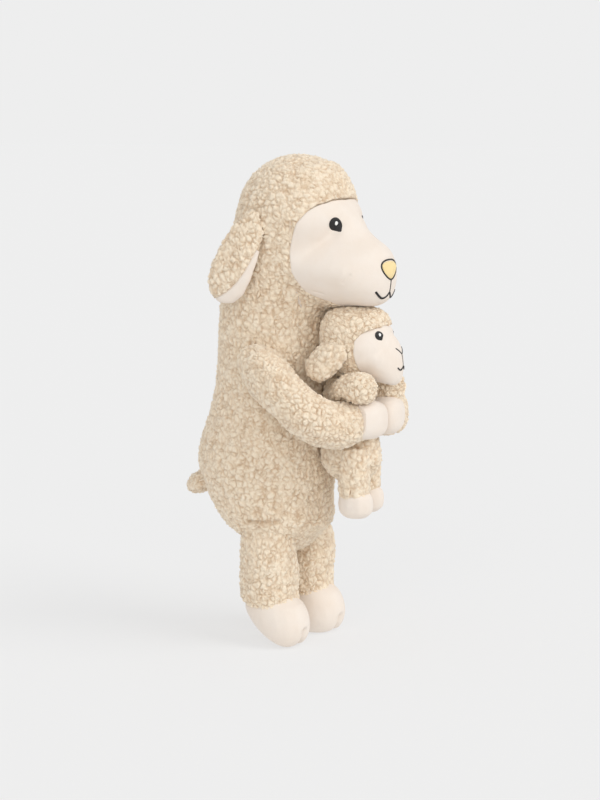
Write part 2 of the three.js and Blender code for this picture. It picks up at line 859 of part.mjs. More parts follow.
function lambHeadPieces() {
  const linings = [ballForm(coarse), muzzleForm(lambFace, lambFaceShares, coarse)];
  const larger = clear([torsoSkin, headSkin, faceSkin]);
  const opening = [faceOpening(lambFace, lambFaceShares, middling)];
  const { first, second, filling } = sewn([lambHeadSkin, lambFaceSkin], linings, larger, opening);
  return [
    sherpaPiece("lamb_head_cover", first),
    velourPiece("lamb_face_panel", second),
    fillingPiece("lamb_head_filling", filling),
  ];
}

function lambMuzzlePieces() {
  const lip = { ...onSurface(lambFaceSkin, 0, lambMouth.z), facing: new THREE.Vector3(0, -1, 0) };
  const tip = new THREE.Vector2(0, lambNose.z - lambMouth.z);
  const wings = [-1, 1].map((side) => {
    const end = new THREE.Vector2(side * lambNose.halfWidth, tip.y + lambNose.height);
    return stroke([tip, end], lambMouth.stroke);
  });
  const lines = joined([...smile(lambMouth, tip.y), ...wings].map((shape) => prism(shape, lip)));
  return [
    threadPiece(
      "lamb_mouth_thread",
      threadLayer(lambFaceSkin, 0).intersect(lines),
      colours.black,
    ),
  ];
}

function lambTorsoPieces() {
  const held = [...armSweep(-1, 1), ...armSweep(1, 1)];
  const larger = [...clear([torsoSkin, lambHeadSkin, lambFaceSkin]), ...held];
  const { cover, filling } = stuffed(lambTorsoSkin, pearForm(coarse), larger);
  return [
    sherpaPiece("lamb_torso_cover", cover),
    fillingPiece("lamb_torso_filling", filling),
  ];
}

const lambBody = [lambTorsoSkin, lambHeadSkin, lambFaceSkin, torsoSkin];

function lambEarForm(side) {
  const path = lambEar.pathShares.map((shares) => onLambHead(shares, side));
  return limbForm(path, lambEar.radius, stubShares, roundSection(coarse), lambEar.flat, forward);
}

function lambEarPieces(side, word) {
  return [sherpaPiece("lamb_ear_" + word, without(solid(lambEarForm(side)), clear(lambBody)))];
}

// A lamb's arm lies on the sheep's, and lifts outwards and up from it
function lambArmPieces(side, word) {
  const path = lambArm.pathShares.map((shares) => onLambArm(shares, side));
  const form = limbForm(path, lambArm.radius, stubShares, roundSection(coarse));
  const held = [sleeveForm(side, middling), handHoofForm(side, middling)];
  const fixed = [...lambBody, lambEarForm(side), ...held];
  const pivot = onLambArm(lambArm.hingeShares, side);
  const axis = new THREE.Vector3(-1, 0, side).normalize();
  const lifted = sweep(fixed, pivot, axis, -lambArm.swing, lambArm.steps);
  return [
    sherpaPiece("lamb_arm_" + word, without(solid(form), [...lifted, ...armSweep(side, arm.steps)])),
  ];
}

// The lamb's legs hang a little askew, the right one further forward
function lambLegPath(side) {
  const askew = new THREE.Vector3(0, side * lambLeg.stagger, 0);
  return lambLeg.pathShares.map((shares) => onLambLeg(shares, side).add(askew));
}

function lambHoofForm(side) {
  const { x, y } = lambLegPath(side)[2];
  const bottom = lambTorso.bottom - lambHoof.below;
  const rows = stubShares.map(([up, round]) => ({
    at: new THREE.Vector3(x, y - lambHoof.forward, bottom + up * lambHoof.height),
    wide: round * lambHoof.halfWidth,
    deep: round * lambHoof.halfLength,
  }));
  return skin(rows, roundSection(coarse));
}

function lambLegPieces(side, word) {
  const path = lambLegPath(side);
  const form = limbForm(path, lambLeg.radius, stubShares, roundSection(coarse));
  const hoof = lambHoofForm(side);
  const larger = [solid(grown(lambTorsoSkin, swingGap)), ...clear([torsoSkin, hoof])];
  return [
    sherpaPiece("lamb_leg_" + word, without(solid(form), larger)),
    velourPiece("lamb_hoof_" + word, without(solid(hoof), clear([lambTorsoSkin]))),
  ];
}

const sidesOfBody = [
  [-1, "right"],
  [1, "left"],
];

const pieces = [
  ...torsoPieces(),
  ...headPieces(),
  ...sidesOfBody.flatMap(([side, word]) => earPieces(side, word)),
  ...sidesOfBody.flatMap(([side, word]) => armPieces(side, word)),
  ...sidesOfBody.flatMap(([side, word]) => legPieces(side, word)),
  ...tailPieces(),
  ...sidesOfBody.flatMap(([side, word]) =>
    eyePieces(eye, faceSkin, side, ["eye_" + word, "eye_highlight_" + word]),
  ),
  ...muzzlePieces(),
  ...lambTorsoPieces(),
  ...lambHeadPieces(),
  ...sidesOfBody.flatMap(([side, word]) => lambEarPieces(side, word)),
  ...sidesOfBody.flatMap(([side, word]) => lambArmPieces(side, word)),
  ...sidesOfBody.flatMap(([side, word]) => lambLegPieces(side, word)),
  ...sidesOfBody.flatMap(([side, word]) =>
    eyePieces(lambEye, lambFaceSkin, side, ["lamb_eye_" + word, "lamb_eye_highlight_" + word]),
  ),
  ...lambMuzzlePieces(),
];

// The origin is the middle of the footprint of the whole toy, on the ground
const sheep = new THREE.Group();
sheep.add(...pieces);
const box = new THREE.Box3().setFromObject(sheep);
const centre = box.getCenter(new THREE.Vector3());
const shift = new THREE.Vector3(-centre.x, -centre.y, -box.min.z);
const plushSheep = new THREE.Group();
sheep.position.copy(shift);
plushSheep.add(sheep);
console.log("moved by", shift.toArray(), "size", box.getSize(new THREE.Vector3()).toArray());

export default plushSheep;
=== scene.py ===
# %% [markdown]
# # A plush sheep that holds a lamb
# The toy is sewn from two cloths: a curly sherpa fleece, and a smooth velour for the faces, the
# hooves and the ear linings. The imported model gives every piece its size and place, so each soft
# piece here starts from it, and this script adds what sewing and stuffing add: swelling, curls,
# creases, thread and light.

# %% Load the frame
import math
import time

import bpy
import numpy as np
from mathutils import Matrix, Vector
from mathutils.bvhtree import BVHTree


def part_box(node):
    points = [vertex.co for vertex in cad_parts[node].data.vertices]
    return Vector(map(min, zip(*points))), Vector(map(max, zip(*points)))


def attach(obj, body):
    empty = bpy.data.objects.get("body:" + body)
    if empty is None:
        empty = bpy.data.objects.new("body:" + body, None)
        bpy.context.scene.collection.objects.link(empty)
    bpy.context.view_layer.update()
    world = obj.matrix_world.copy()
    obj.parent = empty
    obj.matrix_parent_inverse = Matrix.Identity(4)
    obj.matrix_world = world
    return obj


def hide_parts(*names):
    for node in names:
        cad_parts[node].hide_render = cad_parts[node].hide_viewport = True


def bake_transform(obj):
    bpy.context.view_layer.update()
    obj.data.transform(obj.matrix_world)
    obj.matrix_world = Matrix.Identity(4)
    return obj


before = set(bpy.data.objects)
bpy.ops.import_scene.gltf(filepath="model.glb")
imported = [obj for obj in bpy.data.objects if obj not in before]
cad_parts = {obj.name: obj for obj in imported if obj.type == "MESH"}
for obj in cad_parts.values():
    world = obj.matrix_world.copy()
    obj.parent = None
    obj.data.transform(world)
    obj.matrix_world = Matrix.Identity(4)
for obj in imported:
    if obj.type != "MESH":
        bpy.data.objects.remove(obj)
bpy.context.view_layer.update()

MM = 0.001

# %% [markdown]
# ## Helpers for objects
# Blender's operators act on what is selected, so a helper first selects the one object that the
# next operator is meant for.

# %% Selecting, applying and measuring
SIDES = (("right", -1), ("left", 1))


def chosen(piece):
    """The one selected and active object."""
    bpy.ops.object.select_all(action="DESELECT")
    piece.select_set(True)
    bpy.context.view_layer.objects.active = piece
    return piece


def modified(piece, kind, **settings):
    """A modifier with these settings, applied."""
    chosen(piece)
    made = piece.modifiers.new(kind.lower(), kind)
    for name, value in settings.items():
        setattr(made, name, value)
    bpy.ops.object.modifier_apply(modifier=made.name)
    return piece


def places(piece):
    """A mesh's points as an array with one row each."""
    flat = np.empty(len(piece.data.vertices) * 3, np.float32)
    piece.data.vertices.foreach_get("co", flat)
    return flat.reshape(-1, 3).astype(float)


def moved_to(piece, points):
    """The mesh with its points at new places."""
    piece.data.vertices.foreach_set("co", points.astype(np.float32).ravel())
    piece.data.update()
    return piece


# %% [markdown]
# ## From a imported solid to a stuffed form
# A cover in the frame is a cloth shell round its filling. A copy of both, with the filling grown
# a little so that it touches the shell, is remeshed on a grid of voxels, which keeps only the
# outside. A few rounds of smoothing take off the solid's facets.

# %% One closed form from covers and fillings
FILLING_GROWTH = 0.7 * MM


def form_of(name, covers, fillings=(), voxel=3 * MM, smoothing=12, extra=None):
    """A closed form with the outside of some covers and fillings of the frame."""
    copies = []
    for node in (*covers, *fillings):
        copy = bpy.data.objects.new(name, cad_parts[node].data.copy())
        bpy.context.collection.objects.link(copy)
        chosen(copy)
        bpy.ops.object.mode_set(mode="EDIT")
        bpy.ops.mesh.select_all(action="SELECT")
        bpy.ops.mesh.remove_doubles(threshold=0.001 * MM)
        bpy.ops.object.mode_set(mode="OBJECT")
        if node in fillings:
            modified(copy, "DISPLACE", strength=FILLING_GROWTH, mid_level=0)
        copies.append(copy)
    bpy.ops.object.select_all(action="DESELECT")
    for copy in copies:
        copy.select_set(True)
    form = copies[0]
    bpy.context.view_layer.objects.active = form
    if extra:
        extra.select_set(True)
    if extra or len(copies) > 1:
        bpy.ops.object.join()
    form.data.materials.clear()
    modified(form, "REMESH", mode="VOXEL", voxel_size=voxel)
    if smoothing:
        modified(form, "SMOOTH", factor=0.5, iterations=smoothing)
    return form


# %% [markdown]
# ## Stuffing
# Blender's cloth, blown up from inside for a moment with gravity off, swells and creases as a
# stuffed skin does. How far a point may move is capped, so that the toy keeps its measured size.

# %% Cloth under pressure
SIM_FRAMES = 20
PRESSURE = 4.0
sim_seconds = []


def stuffed(piece, cap, floor=None):
    """The piece blown up by cloth simulation, no point moved further than the cap."""
    start = time.time()
    before = places(piece)
    chosen(piece)
    cloth = piece.modifiers.new("cloth", "CLOTH")
    cloth.settings.quality = 4
    cloth.settings.use_pressure = True
    cloth.settings.uniform_pressure_force = PRESSURE
    cloth.settings.effector_weights.gravity = 0
    cloth.settings.tension_stiffness = 10
    cloth.settings.compression_stiffness = 10
    cloth.settings.bending_stiffness = 2
    cloth.point_cache.frame_end = SIM_FRAMES
    for number in range(1, SIM_FRAMES + 1):
        bpy.context.scene.frame_set(number)
    bpy.ops.object.modifier_apply(modifier=cloth.name)
    bpy.context.scene.frame_set(1)
    step = places(piece) - before
    far = np.linalg.norm(step, axis=1)
    step *= np.minimum(1, cap / np.maximum(far, 1e-9))[:, None]
    after = before + step
    if floor is not None:
        after[:, 2] = np.maximum(after[:, 2], floor)
    moved_to(piece, after)
    sim_seconds.append(time.time() - start)
    print(piece.name, "swelled by up to", round(float(far.max() / MM), 1), "mm in",
          round(sim_seconds[-1], 1), "s")
    return piece


def halved(piece, at, away):
    """The piece cut by a plane and closed there. What lies on the plane's away side goes."""
    chosen(piece)
    bpy.ops.object.mode_set(mode="EDIT")
    bpy.ops.mesh.select_all(action="SELECT")
    bpy.ops.mesh.bisect(plane_co=at, plane_no=away, use_fill=True, clear_outer=True)
    bpy.ops.object.mode_set(mode="OBJECT")
    return piece


def twin(piece, name):
    """A copy with its own mesh."""
    copy = piece.copy()
    copy.data = piece.data.copy()
    copy.name = name
    bpy.context.collection.objects.link(copy)
    return copy


# %% [markdown]
# ## Creases
# Sewing draws a cloth in along a line. A crease is pressed into the finished mesh: each point
# moves inwards by a depth that falls off with its distance from the line.

# %% Pressing a line into a mesh
def outward(piece):
    """The mesh's normals, one row for each point."""
    flat = np.empty(len(piece.data.vertices) * 3, np.float32)
    piece.data.vertices.foreach_get("normal", flat)
    return flat.reshape(-1, 3).astype(float)


def away_from(points, line):
    """How far each point is from a line through a few places."""
    far = np.full(len(points), np.inf)
    for start, end in zip(line, line[1:]):
        start, run = np.array(start), np.array(end) - np.array(start)
        along = np.clip((points - start) @ run / (run @ run), 0, 1)
        far = np.minimum(far, np.linalg.norm(points - start - along[:, None] * run, axis=1))
    return far


def creased(piece, line, width, depth):
    """The piece pressed in along a line, deepest on the line."""
    points = places(piece)
    press = depth * np.exp(-(away_from(points, line) / width) ** 2)
    return moved_to(piece, points - outward(piece) * press[:, None])


# %% [markdown]
# ## Writing node maths as Python
# A small class wraps a node's output. Adding or multiplying two of them adds the Math node that
# does it, so that a pattern reads like the sum that it is. It serves materials and geometry.

# %% The wrapper
class Wire:
    """A value that flows between nodes."""

    def __init__(self, tree, socket):
        self.tree = tree
        self.socket = socket

    def math(self, operation, *others, clamp=False):
        return node(self.tree, "ShaderNodeMath", {"operation": operation, "use_clamp": clamp},
                    self, *others)

    def __add__(self, other):
        return self.math("ADD", other)

    __radd__ = __add__

    def __sub__(self, other):
        return self.math("SUBTRACT", other)

    def __rsub__(self, other):
        return node(self.tree, "ShaderNodeMath", {"operation": "SUBTRACT"}, other, self)

    def __mul__(self, other):
        return self.math("MULTIPLY", other)

    __rmul__ = __mul__

    def __truediv__(self, other):
        return self.math("DIVIDE", other)

    def __pow__(self, other):
        return self.math("POWER", other)

    def clamped(self):
        return self.math("ADD", 0, clamp=True)


def node(tree, kind, settings, *values, out=0, **named):
    """A node with its settings, then the values or links of its sockets. Gives one output."""
    made = tree.nodes.new(kind)
    for name, value in settings.items():
        setattr(made, name, value)
    for key, value in [*enumerate(values), *named.items()]:
        socket = made.inputs[key.replace("_", " ") if isinstance(key, str) else key]
        if isinstance(value, Wire):
            tree.links.new(value.socket, socket)
        elif value is not None:
            socket.default_value = value
    return Wire(tree, made.outputs[out])


def scaled(tree, vector, size):
    """A position measured in steps of a size in metres."""
    return node(tree, "ShaderNodeVectorMath", {"operation": "SCALE"}, vector, Scale=1 / size)


def noise(tree, vector, size, detail=2.0, out=0):
    """Soft noise with lumps of that size in metres, from 0 to 1."""
    return node(tree, "ShaderNodeTexNoise", {}, Vector=scaled(tree, vector, size), Scale=1.0,
                Detail=detail, out=out)


def shaken(tree, vector, size, reach):
    """A position pushed about by noise, by about the reach in metres."""
    push = noise(tree, vector, size, out=1)
    centred = node(tree, "ShaderNodeVectorMath", {"operation": "SUBTRACT"}, push, (0.5, 0.5, 0.5))
    sized = node(tree, "ShaderNodeVectorMath", {"operation": "SCALE"}, centred, Scale=2 * reach)
    return node(tree, "ShaderNodeVectorMath", {"operation": "ADD"}, vector, sized)


def cells(tree, vector, size):
    """How far a place is from the edge between cells of that size: 0 on the edge."""
    return node(tree, "ShaderNodeTexVoronoi", {"feature": "DISTANCE_TO_EDGE"},
                Vector=scaled(tree, vector, size), Scale=1.0, Randomness=1.0)


# %% [markdown]
# ## Curls
# Sherpa is a fleece whose pile is felted into small soft curls, 3 to 5 mm across, with meandering
# gaps between them that are deep in some places and nearly closed in others. The curls are real
# shape here: geometry nodes find how far each point lies from the edge of its curl, and let the
# pile rise from there to a round top. The same number is stored, so that the colour can paint
# shade into the low gaps.

# %% The curls as geometry nodes
CURL = 4.6 * MM
SMALL_CURL = 2.3 * MM
PILE = 2.2 * MM
MEAN_HEIGHT = 0.66
LUMP = 1.8 * MM


def curl_nodes():
    """Geometry nodes that raise curls from a mesh."""
    tree = bpy.data.node_groups.new("curls", "GeometryNodeTree")
    tree.interface.new_socket("Geometry", in_out="INPUT", socket_type="NodeSocketGeometry")
    tree.interface.new_socket("Geometry", in_out="OUTPUT", socket_type="NodeSocketGeometry")
    mesh = node(tree, "NodeGroupInput", {})
    place = node(tree, "GeometryNodeInputPosition", {})
    normal = node(tree, "GeometryNodeInputNormal", {})
    wandering = shaken(tree, shaken(tree, place, 9 * MM, 3 * MM), 2.6 * MM, 1.3 * MM)
    openness = (noise(tree, place, 6 * MM) * 2.8 - 0.9).clamped()
    gaps = (1 - cells(tree, wandering, CURL) / 0.5).clamped() ** 2.1
    knots = (1 - cells(tree, wandering, SMALL_CURL) / 0.4).clamped() ** 2
    frizz = noise(tree, place, 1.6 * MM, detail=3) - 0.5
    height = 1 - gaps * (0.4 + 0.6 * openness) - knots * 0.24 + frizz * 0.75
    lumps = noise(tree, place, 20 * MM) - 0.5
    push = (height - MEAN_HEIGHT) * PILE + lumps * LUMP
    offset = node(tree, "ShaderNodeVectorMath", {"operation": "SCALE"}, normal, Scale=push)
    held = node(tree, "GeometryNodeStoreNamedAttribute", {"data_type": "FLOAT", "domain": "POINT"},
                mesh, None, "pile", height)
    set_place = node(tree, "GeometryNodeSetPosition", {}, held, Offset=offset)
    end = tree.nodes.new("NodeGroupOutput")
    tree.links.new(set_place.socket, end.inputs[0])
    return tree


CURLS = curl_nodes()


def curled(piece):
    """The piece with curls all over."""
    return modified(piece, "NODES", node_group=CURLS)


# %% [markdown]
# ## Two cloths
# Colours come from the photograph: the fleece is a warm cream, with painted shade that darkens the
# gaps between its curls to a light brown, and the velour is paler and pinker. Each also has a fine
# grain: frizzy fibres on the fleece, and the short nap of the velour, brushed a little unevenly.

# %% The materials
def material(name):
    """An empty material, its tree and its shader."""
    made = bpy.data.materials.new(name)
    made.use_nodes = True
    tree = made.node_tree
    shader = tree.nodes["Principled BSDF"]
    return made, tree, shader


def feed(tree, shader, socket, wire):
    """A value linked to a socket of the shader."""
    tree.links.new(wire.socket, shader.inputs[socket])


def blended(tree, share, low, high):
    """A colour between two, by a share from 0 to 1."""
    made = tree.nodes.new("ShaderNodeMix")
    made.data_type = "RGBA"
    tree.links.new(share.socket, made.inputs["Factor"])
    for key, value in ((6, low), (7, high)):
        if isinstance(value, Wire):
            tree.links.new(value.socket, made.inputs[key])
        else:
            made.inputs[key].default_value = (*value, 1)
    return Wire(tree, made.outputs[2])


def object_place(tree):
    """The place in the object, which moves with the piece."""
    return node(tree, "ShaderNodeTexCoord", {}, out=3)


def finish_of(shader, roughness, gloss, sheen, tint):
    """The plain numbers of a cloth or thread."""
    shader.inputs["Roughness"].default_value = roughness
    shader.inputs["Specular IOR Level"].default_value = gloss
    shader.inputs["Sheen Weight"].default_value = sheen
    shader.inputs["Sheen Roughness"].default_value = 0.5
    shader.inputs["Sheen Tint"].default_value = (*tint, 1)


# Painted shade: the gap colour darkens the low gaps between the curls. The light and warm colours
# are the curls' own tones, mixed at random.
FLEECE_GAP_PAINTED_SHADE = (0.69, 0.51, 0.345)
FLEECE_LIGHT = (0.95, 0.84, 0.68)
FLEECE_WARM = (0.90, 0.75, 0.565)


def fleece_material():
    """Curly fleece, light on its curls, with painted shade that makes its gaps brown."""
    made, tree, shader = material("sherpa_fleece")
    place = object_place(tree)
    pile = node(tree, "ShaderNodeAttribute", {"attribute_name": "pile"}, out=2)
    patches = noise(tree, place, 9 * MM, detail=3)
    fibre = noise(tree, place, 0.5 * MM, detail=4)
    frizz = noise(tree, shaken(tree, place, 1.2 * MM, 0.8 * MM), 1.0 * MM, detail=3)
    tone = (patches * 1.6 - 0.3 + (frizz - 0.5) * 0.7).clamped()
    lit = blended(tree, tone, FLEECE_WARM, FLEECE_LIGHT)
    # Painted shade: the lower the pile, the nearer the colour comes to the brown of the gaps.
    depth = (pile * 1.4 + (fibre - 0.5) * 0.4).clamped()
    feed(tree, shader, "Base Color", blended(tree, depth, FLEECE_GAP_PAINTED_SHADE, lit))
    height = fibre * 0.6 + frizz
    bump = node(tree, "ShaderNodeBump", {}, Strength=1.0, Distance=0.5 * MM, Height=height)
    feed(tree, shader, "Normal", bump)
    finish_of(shader, 0.95, 0.1, 0.5, (1, 0.95, 0.88))
    return made


VELOUR = (0.83, 0.755, 0.68)
VELOUR_DEEP = (0.80, 0.70, 0.605)


def velour_material():
    """Smooth velour with a short, unevenly brushed nap."""
    made, tree, shader = material("smooth_velour")
    place = object_place(tree)
    clouds = noise(tree, place, 16 * MM, detail=3)
    nap = noise(tree, place, 0.32 * MM, detail=3)
    tone = (clouds * 1.5 - 0.25 + (nap - 0.5) * 0.5).clamped()
    feed(tree, shader, "Base Color", blended(tree, tone, VELOUR_DEEP, VELOUR))
    brushed = noise(tree, place, 2.5 * MM, detail=3)
    bump = node(tree, "ShaderNodeBump", {}, Strength=0.35, Distance=0.14 * MM,
                Height=nap + brushed * 1.5)
    feed(tree, shader, "Normal", bump)
    finish_of(shader, 0.85, 0.15, 0.35, (1, 0.95, 0.91))
    return made


FLEECE = fleece_material()
SMOOTH = velour_material()

# %% [markdown]
# ## Putting a piece in its place
# Each finished piece gets its cloth, rides on the body that carries it in the model, and stands
# for the solids that it was made from. A sleeve that is given a bend is instead only baked in
# place, and rides on no body.


# %% Finishing a soft piece
SHARP = math.radians(80)


def finished(piece, cloth, body, nodes, bend=None):
    """A soft piece with its cloth, its body and the nodes that it stands for."""
    piece.data.materials.clear()
    piece.data.materials.append(cloth)
    chosen(piece)
    bpy.ops.object.shade_smooth_by_angle(angle=SHARP)
    if bend:
        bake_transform(piece)
    else:
        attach(piece, body)
    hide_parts(*nodes)
    print(piece.name, len(piece.data.polygons), "faces on", body)
    return piece


def refined(piece, levels=2):
    """The piece with a finer, rounder surface."""
    return modified(piece, "SUBSURF", levels=levels, render_levels=levels)


def eased(share):
    """A share held between 0 and 1, with a soft start and end."""
    share = np.clip(share, 0, 1)
    return share * share * (3 - 2 * share)


def pulled(piece, start, end, step):
    """Points past the end move by the step, those before the start stay, the rest follow."""
    points = places(piece)
    start, run = np.array(start), np.array(end) - np.array(start)
    share = eased((points - start) @ run / (run @ run))
    return moved_to(piece, points + share[:, None] * np.array(step))


def swollen(piece, reach):
    """The piece with its surface moved out by the reach."""
    return moved_to(piece, places(piece) + outward(piece) * reach)


# %% [markdown]
# ## Faces
# A head is one round form with a muzzle. The muzzle is narrow over its bridge, so that the eyes
# lie on the round of the head beside it, and it narrows again to the nose. The seam between hood
# and face is a rounded square round the front of the head. Hood and face come from the same
# form: each is the whole of it, and sinks out of sight where the other one shows.


# %% The round of a head, its muzzle, and the seam of its face
SEAM_EDGE = 1.3 * MM


def rounds(points, low, high, step):
    """The radius and the middle of a round form at each height, from its widest points."""
    found = []
    for level in np.arange(low, high, step):
        ring = points[np.abs(points[:, 2] - level) < step / 2]
        radius = np.abs(ring[:, 0]).max()
        widest = ring[np.abs(ring[:, 0]) > 0.985 * radius]
        found.append((level, radius, widest[:, 1].mean()))
    return np.array(found)


def muzzled(piece, size, nose, tip, low, high, ahead):
    """A head drawn in beside the bridge and the nose of its muzzle, sizes by its own radius."""
    points = places(piece)
    level, radius, middle = rounds(points, low, high, 0.12 * size).T
    x, y, z = points.T
    centre = np.interp(z, level, middle)
    reach = np.interp(z, level, radius)
    above = eased((z - nose) / (0.76 * size))
    before = eased(((centre - y) / size - 0.4) / 0.4)
    near = np.clip(1 - (y - tip) / (0.5 * size), 0, 1)
    x = x * (1 - np.maximum(0.5 * above * before, 0.48 * near ** 1.7))
    z = nose + (z - nose) * (1 + 0.25 * near ** 2)
    y = y - ahead * eased(near)
    out = np.hypot(x, y - centre)
    grow = np.maximum(1, reach / np.maximum(out, 1e-6))
    grow = np.where((before > 0) & (z > low) & (z < high), grow, 1)
    moved_to(piece, np.column_stack([x * grow, centre + (y - centre) * grow, z]))
    return modified(piece, "SMOOTH", factor=0.5, iterations=4)


def past_seam(points, centre, angles):
    """How far each point lies outside the seam of a face, less than nothing inside it. The seam's
    angle from straight ahead, seen from the centre, goes by how far up round the face it is."""
    x, y, z = (points - centre).T
    beside = np.hypot(x, z)
    around = np.degrees(np.arctan2(z, np.abs(x)))
    angle = np.arctan2(beside, -y) - np.radians(np.interp(around, *np.array(angles, float).T))
    return angle * np.hypot(beside, y)


def sewn_pair(fleece, face, seam, fleece_depth, face_depth):
    """Curls on the fleece, and each of the two cloths sunk where the other one shows."""
    for piece in (fleece, face):
        refined(piece)
    normals = outward(fleece)
    inside = np.clip(-past_seam(places(fleece), *seam) / SEAM_EDGE, 0, 1) * fleece_depth
    curled(fleece)
    moved_to(fleece, places(fleece) - normals * inside[:, None])
    outside = np.clip(past_seam(places(face), *seam) / SEAM_EDGE, 0, 1) * face_depth
    moved_to(face, places(face) - outward(face) * outside[:, None])


def drawn_to_ball(piece, centre, radius, bridge, start):
    """The upper face laid on a ball with a narrow bridge on it, below the pile of its hood."""
    rest = places(piece) - centre
    far = np.linalg.norm(rest, axis=1)
    climb = np.degrees(np.arcsin(rest[:, 2] / far))
    rise = np.interp(climb, *np.array(bridge, float).T) * MM
    wanted = radius + rise * np.exp(-(rest[:, 0] / (15 * MM)) ** 2)
    wanted = np.clip(wanted, far - 8 * MM, far + 4 * MM)
    share = eased((rest[:, 2] - start) / (18 * MM)) * eased((-rest[:, 1] - 8 * MM) / (14 * MM))
    return moved_to(piece, centre + rest * (1 + (wanted / far - 1) * share)[:, None])


# %% [markdown]
# ## Torso, hood and face
# The torso and the hood are sewn together under the pile, so that the curls run on over the seam.
# They are blown up and curled as one form, and cut apart at the neck at the end. Two faint
# creases on each cheek show where the velour is a little too wide for the stuffing.

# %% Hips
def nearest_on(piece, place):
    """The point of a mesh nearest to a place."""
    points = places(piece)
    return points[np.linalg.norm(points - np.array(place), axis=1).argmin()]


def hip_crease(piece, side):
    """A short level fold where a leg is sewn to the torso."""
    line = [nearest_on(piece, np.array((side * x, y, z)) * MM)
            for x, y, z in ((46, 12, 104), (51, -4, 101), (51, -20, 103))]
    return creased(piece, line, 1.7 * MM, 3.0 * MM)


# %% The body and the head
TORSO_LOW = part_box("torso_cover")[0].z
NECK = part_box("head_cover")[0].z
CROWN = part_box("head_cover")[1].z
FACE_LOW, FACE_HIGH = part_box("face_panel")
MUZZLE, CHIN = FACE_LOW.y, FACE_LOW.z
NOSE = sum(corner.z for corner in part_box("nose_patch")) / 2
HEAD_SIZE = 50 * MM
HEAD_MIDDLE = MUZZLE + 79 * MM
SEAM = ((0, HEAD_MIDDLE, NECK + 50 * MM),
        [(-90, 42), (-58, 50), (-42, 64), (-20, 72), (0, 73), (27, 68), (43, 61), (59, 52),
         (75, 47.5), (90, 46)])
BRIDGE = [(-6, 28), (0, 14), (7, 5.5), (17, 1.5), (33, -2)]

fleece = form_of("torso", ["torso_cover", "head_cover", "face_panel"],
                 ["torso_filling", "head_filling"], voxel=3.1 * MM)
muzzled(fleece, HEAD_SIZE, NOSE - 5 * MM, MUZZLE, NECK + 5 * MM, CROWN, 2.5 * MM)
points = places(fleece)
ahead = eased((-points[:, 1] - 4 * MM) / (28 * MM))
points[:, 1] += 3 * MM * ahead * eased((TORSO_LOW + 90 * MM - points[:, 2]) / (50 * MM))
points[:, 1] += 4 * MM * ahead * eased((TORSO_LOW + 44 * MM - points[:, 2]) / (30 * MM))
points[:, 2] += (8 + 7 * ahead) * MM * eased((TORSO_LOW + 46 * MM - points[:, 2]) / (40 * MM))
moved_to(fleece, points)
stuffed(fleece, cap=1.2 * MM)
face = halved(twin(fleece, "face"), (0, FACE_HIGH.y - 8 * MM, 0), (0, 1, 0))
halved(face, (0, 0, NECK + 1 * MM), (0, 0, -1))
drawn_to_ball(face, (0, HEAD_MIDDLE, NECK + 62 * MM), HEAD_SIZE, BRIDGE, -8 * MM)
modified(face, "SMOOTH", factor=0.5, iterations=8)
sewn_pair(fleece, face, SEAM, 9 * MM, 4 * MM)
hood = halved(twin(fleece, "hood"), (0, 0, NECK), (0, 0, -1))
halved(fleece, (0, 0, NECK), (0, 0, 1))
for _, side in SIDES:
    hip_crease(fleece, side)
finished(fleece, FLEECE, "body", ["torso_cover", "torso_filling"])
finished(hood, FLEECE, "body", ["head_cover", "head_filling"])


# %% Creases on the cheeks
for _, side in SIDES:
    for out, ahead, up, run, rise in ((26, 22, 30, 6, -5), (34, 42, 12, 7, 4)):
        start = nearest_on(face, (side * out * MM, MUZZLE + ahead * MM, CHIN + up * MM))
        end = nearest_on(face, start + np.array((0, run, rise)) * MM)
        creased(face, [start, end], 1.1 * MM, 0.7 * MM)
finished(face, SMOOTH, "body", ["face_panel"])

# %% [markdown]
# ## Limbs
# A sleeve and its hoof are one stuffed tube sewn from two cloths. Each is made from the same
# form, and kept on its own side of the cuff.


# %% A fleece limb, and the smooth end that is sewn to it
def limb(name, cover, filling, body, voxel, shaping, cuts, bend=None, extra=None):
    """The fleece part of a limb, shaped, curled and cut off inside its hoof."""
    piece = form_of(name, [cover], [filling], voxel=voxel, extra=extra)
    shaping(piece)
    stuffed(piece, cap=1.0 * MM)
    refined(piece)
    curled(piece)
    for at, away in cuts:
        halved(piece, at, away)
    return finished(piece, FLEECE, body, [cover, filling], bend=bend)


def smooth_form(name, covers, fillings, voxel, cuts=(), floor=None, shaping=None):
    """The smooth end of a limb, cut off inside its sleeve."""
    piece = form_of(name, covers, fillings, voxel=voxel, smoothing=10)
    if shaping:
        shaping(piece)
    stuffed(piece, cap=0.8 * MM, floor=floor)
    for at, away in cuts:
        halved(piece, at, away)
    refined(piece)
    if floor is not None:
        points = places(piece)
        points[:, 2] = np.maximum(points[:, 2], floor)
        moved_to(piece, points)
    return piece


# %% Arms
def full_sleeve(side, cuff, along):
    """A sleeve fuller than its tube, high at the shoulder, low at the elbow, narrow at the cuff."""
    def shaping(piece):
        pulled(piece, (0, 0, cuff.z + 24 * MM), (0, 0, cuff.z + 46 * MM), (0, 5 * MM, 5 * MM))
        pulled(piece, (0, -16 * MM, 0), (0, -52 * MM, 0), (0, 0, -6.5 * MM))
        points = places(piece)
        near = eased((48 * MM - side * points[:, 0]) / (24 * MM))
        points[:, 1] += (cuff.y - points[:, 1]) * 0.2 * near
        points[:, 1] += (5 if side > 0 else 2) * MM * near
        points[:, 2] += 4 * MM * near
        moved_to(piece, points + outward(piece) * (1.6 * MM * near)[:, None])
        pulled(piece, cuff - along * 14 * MM, cuff, along * 6 * MM)
    return shaping


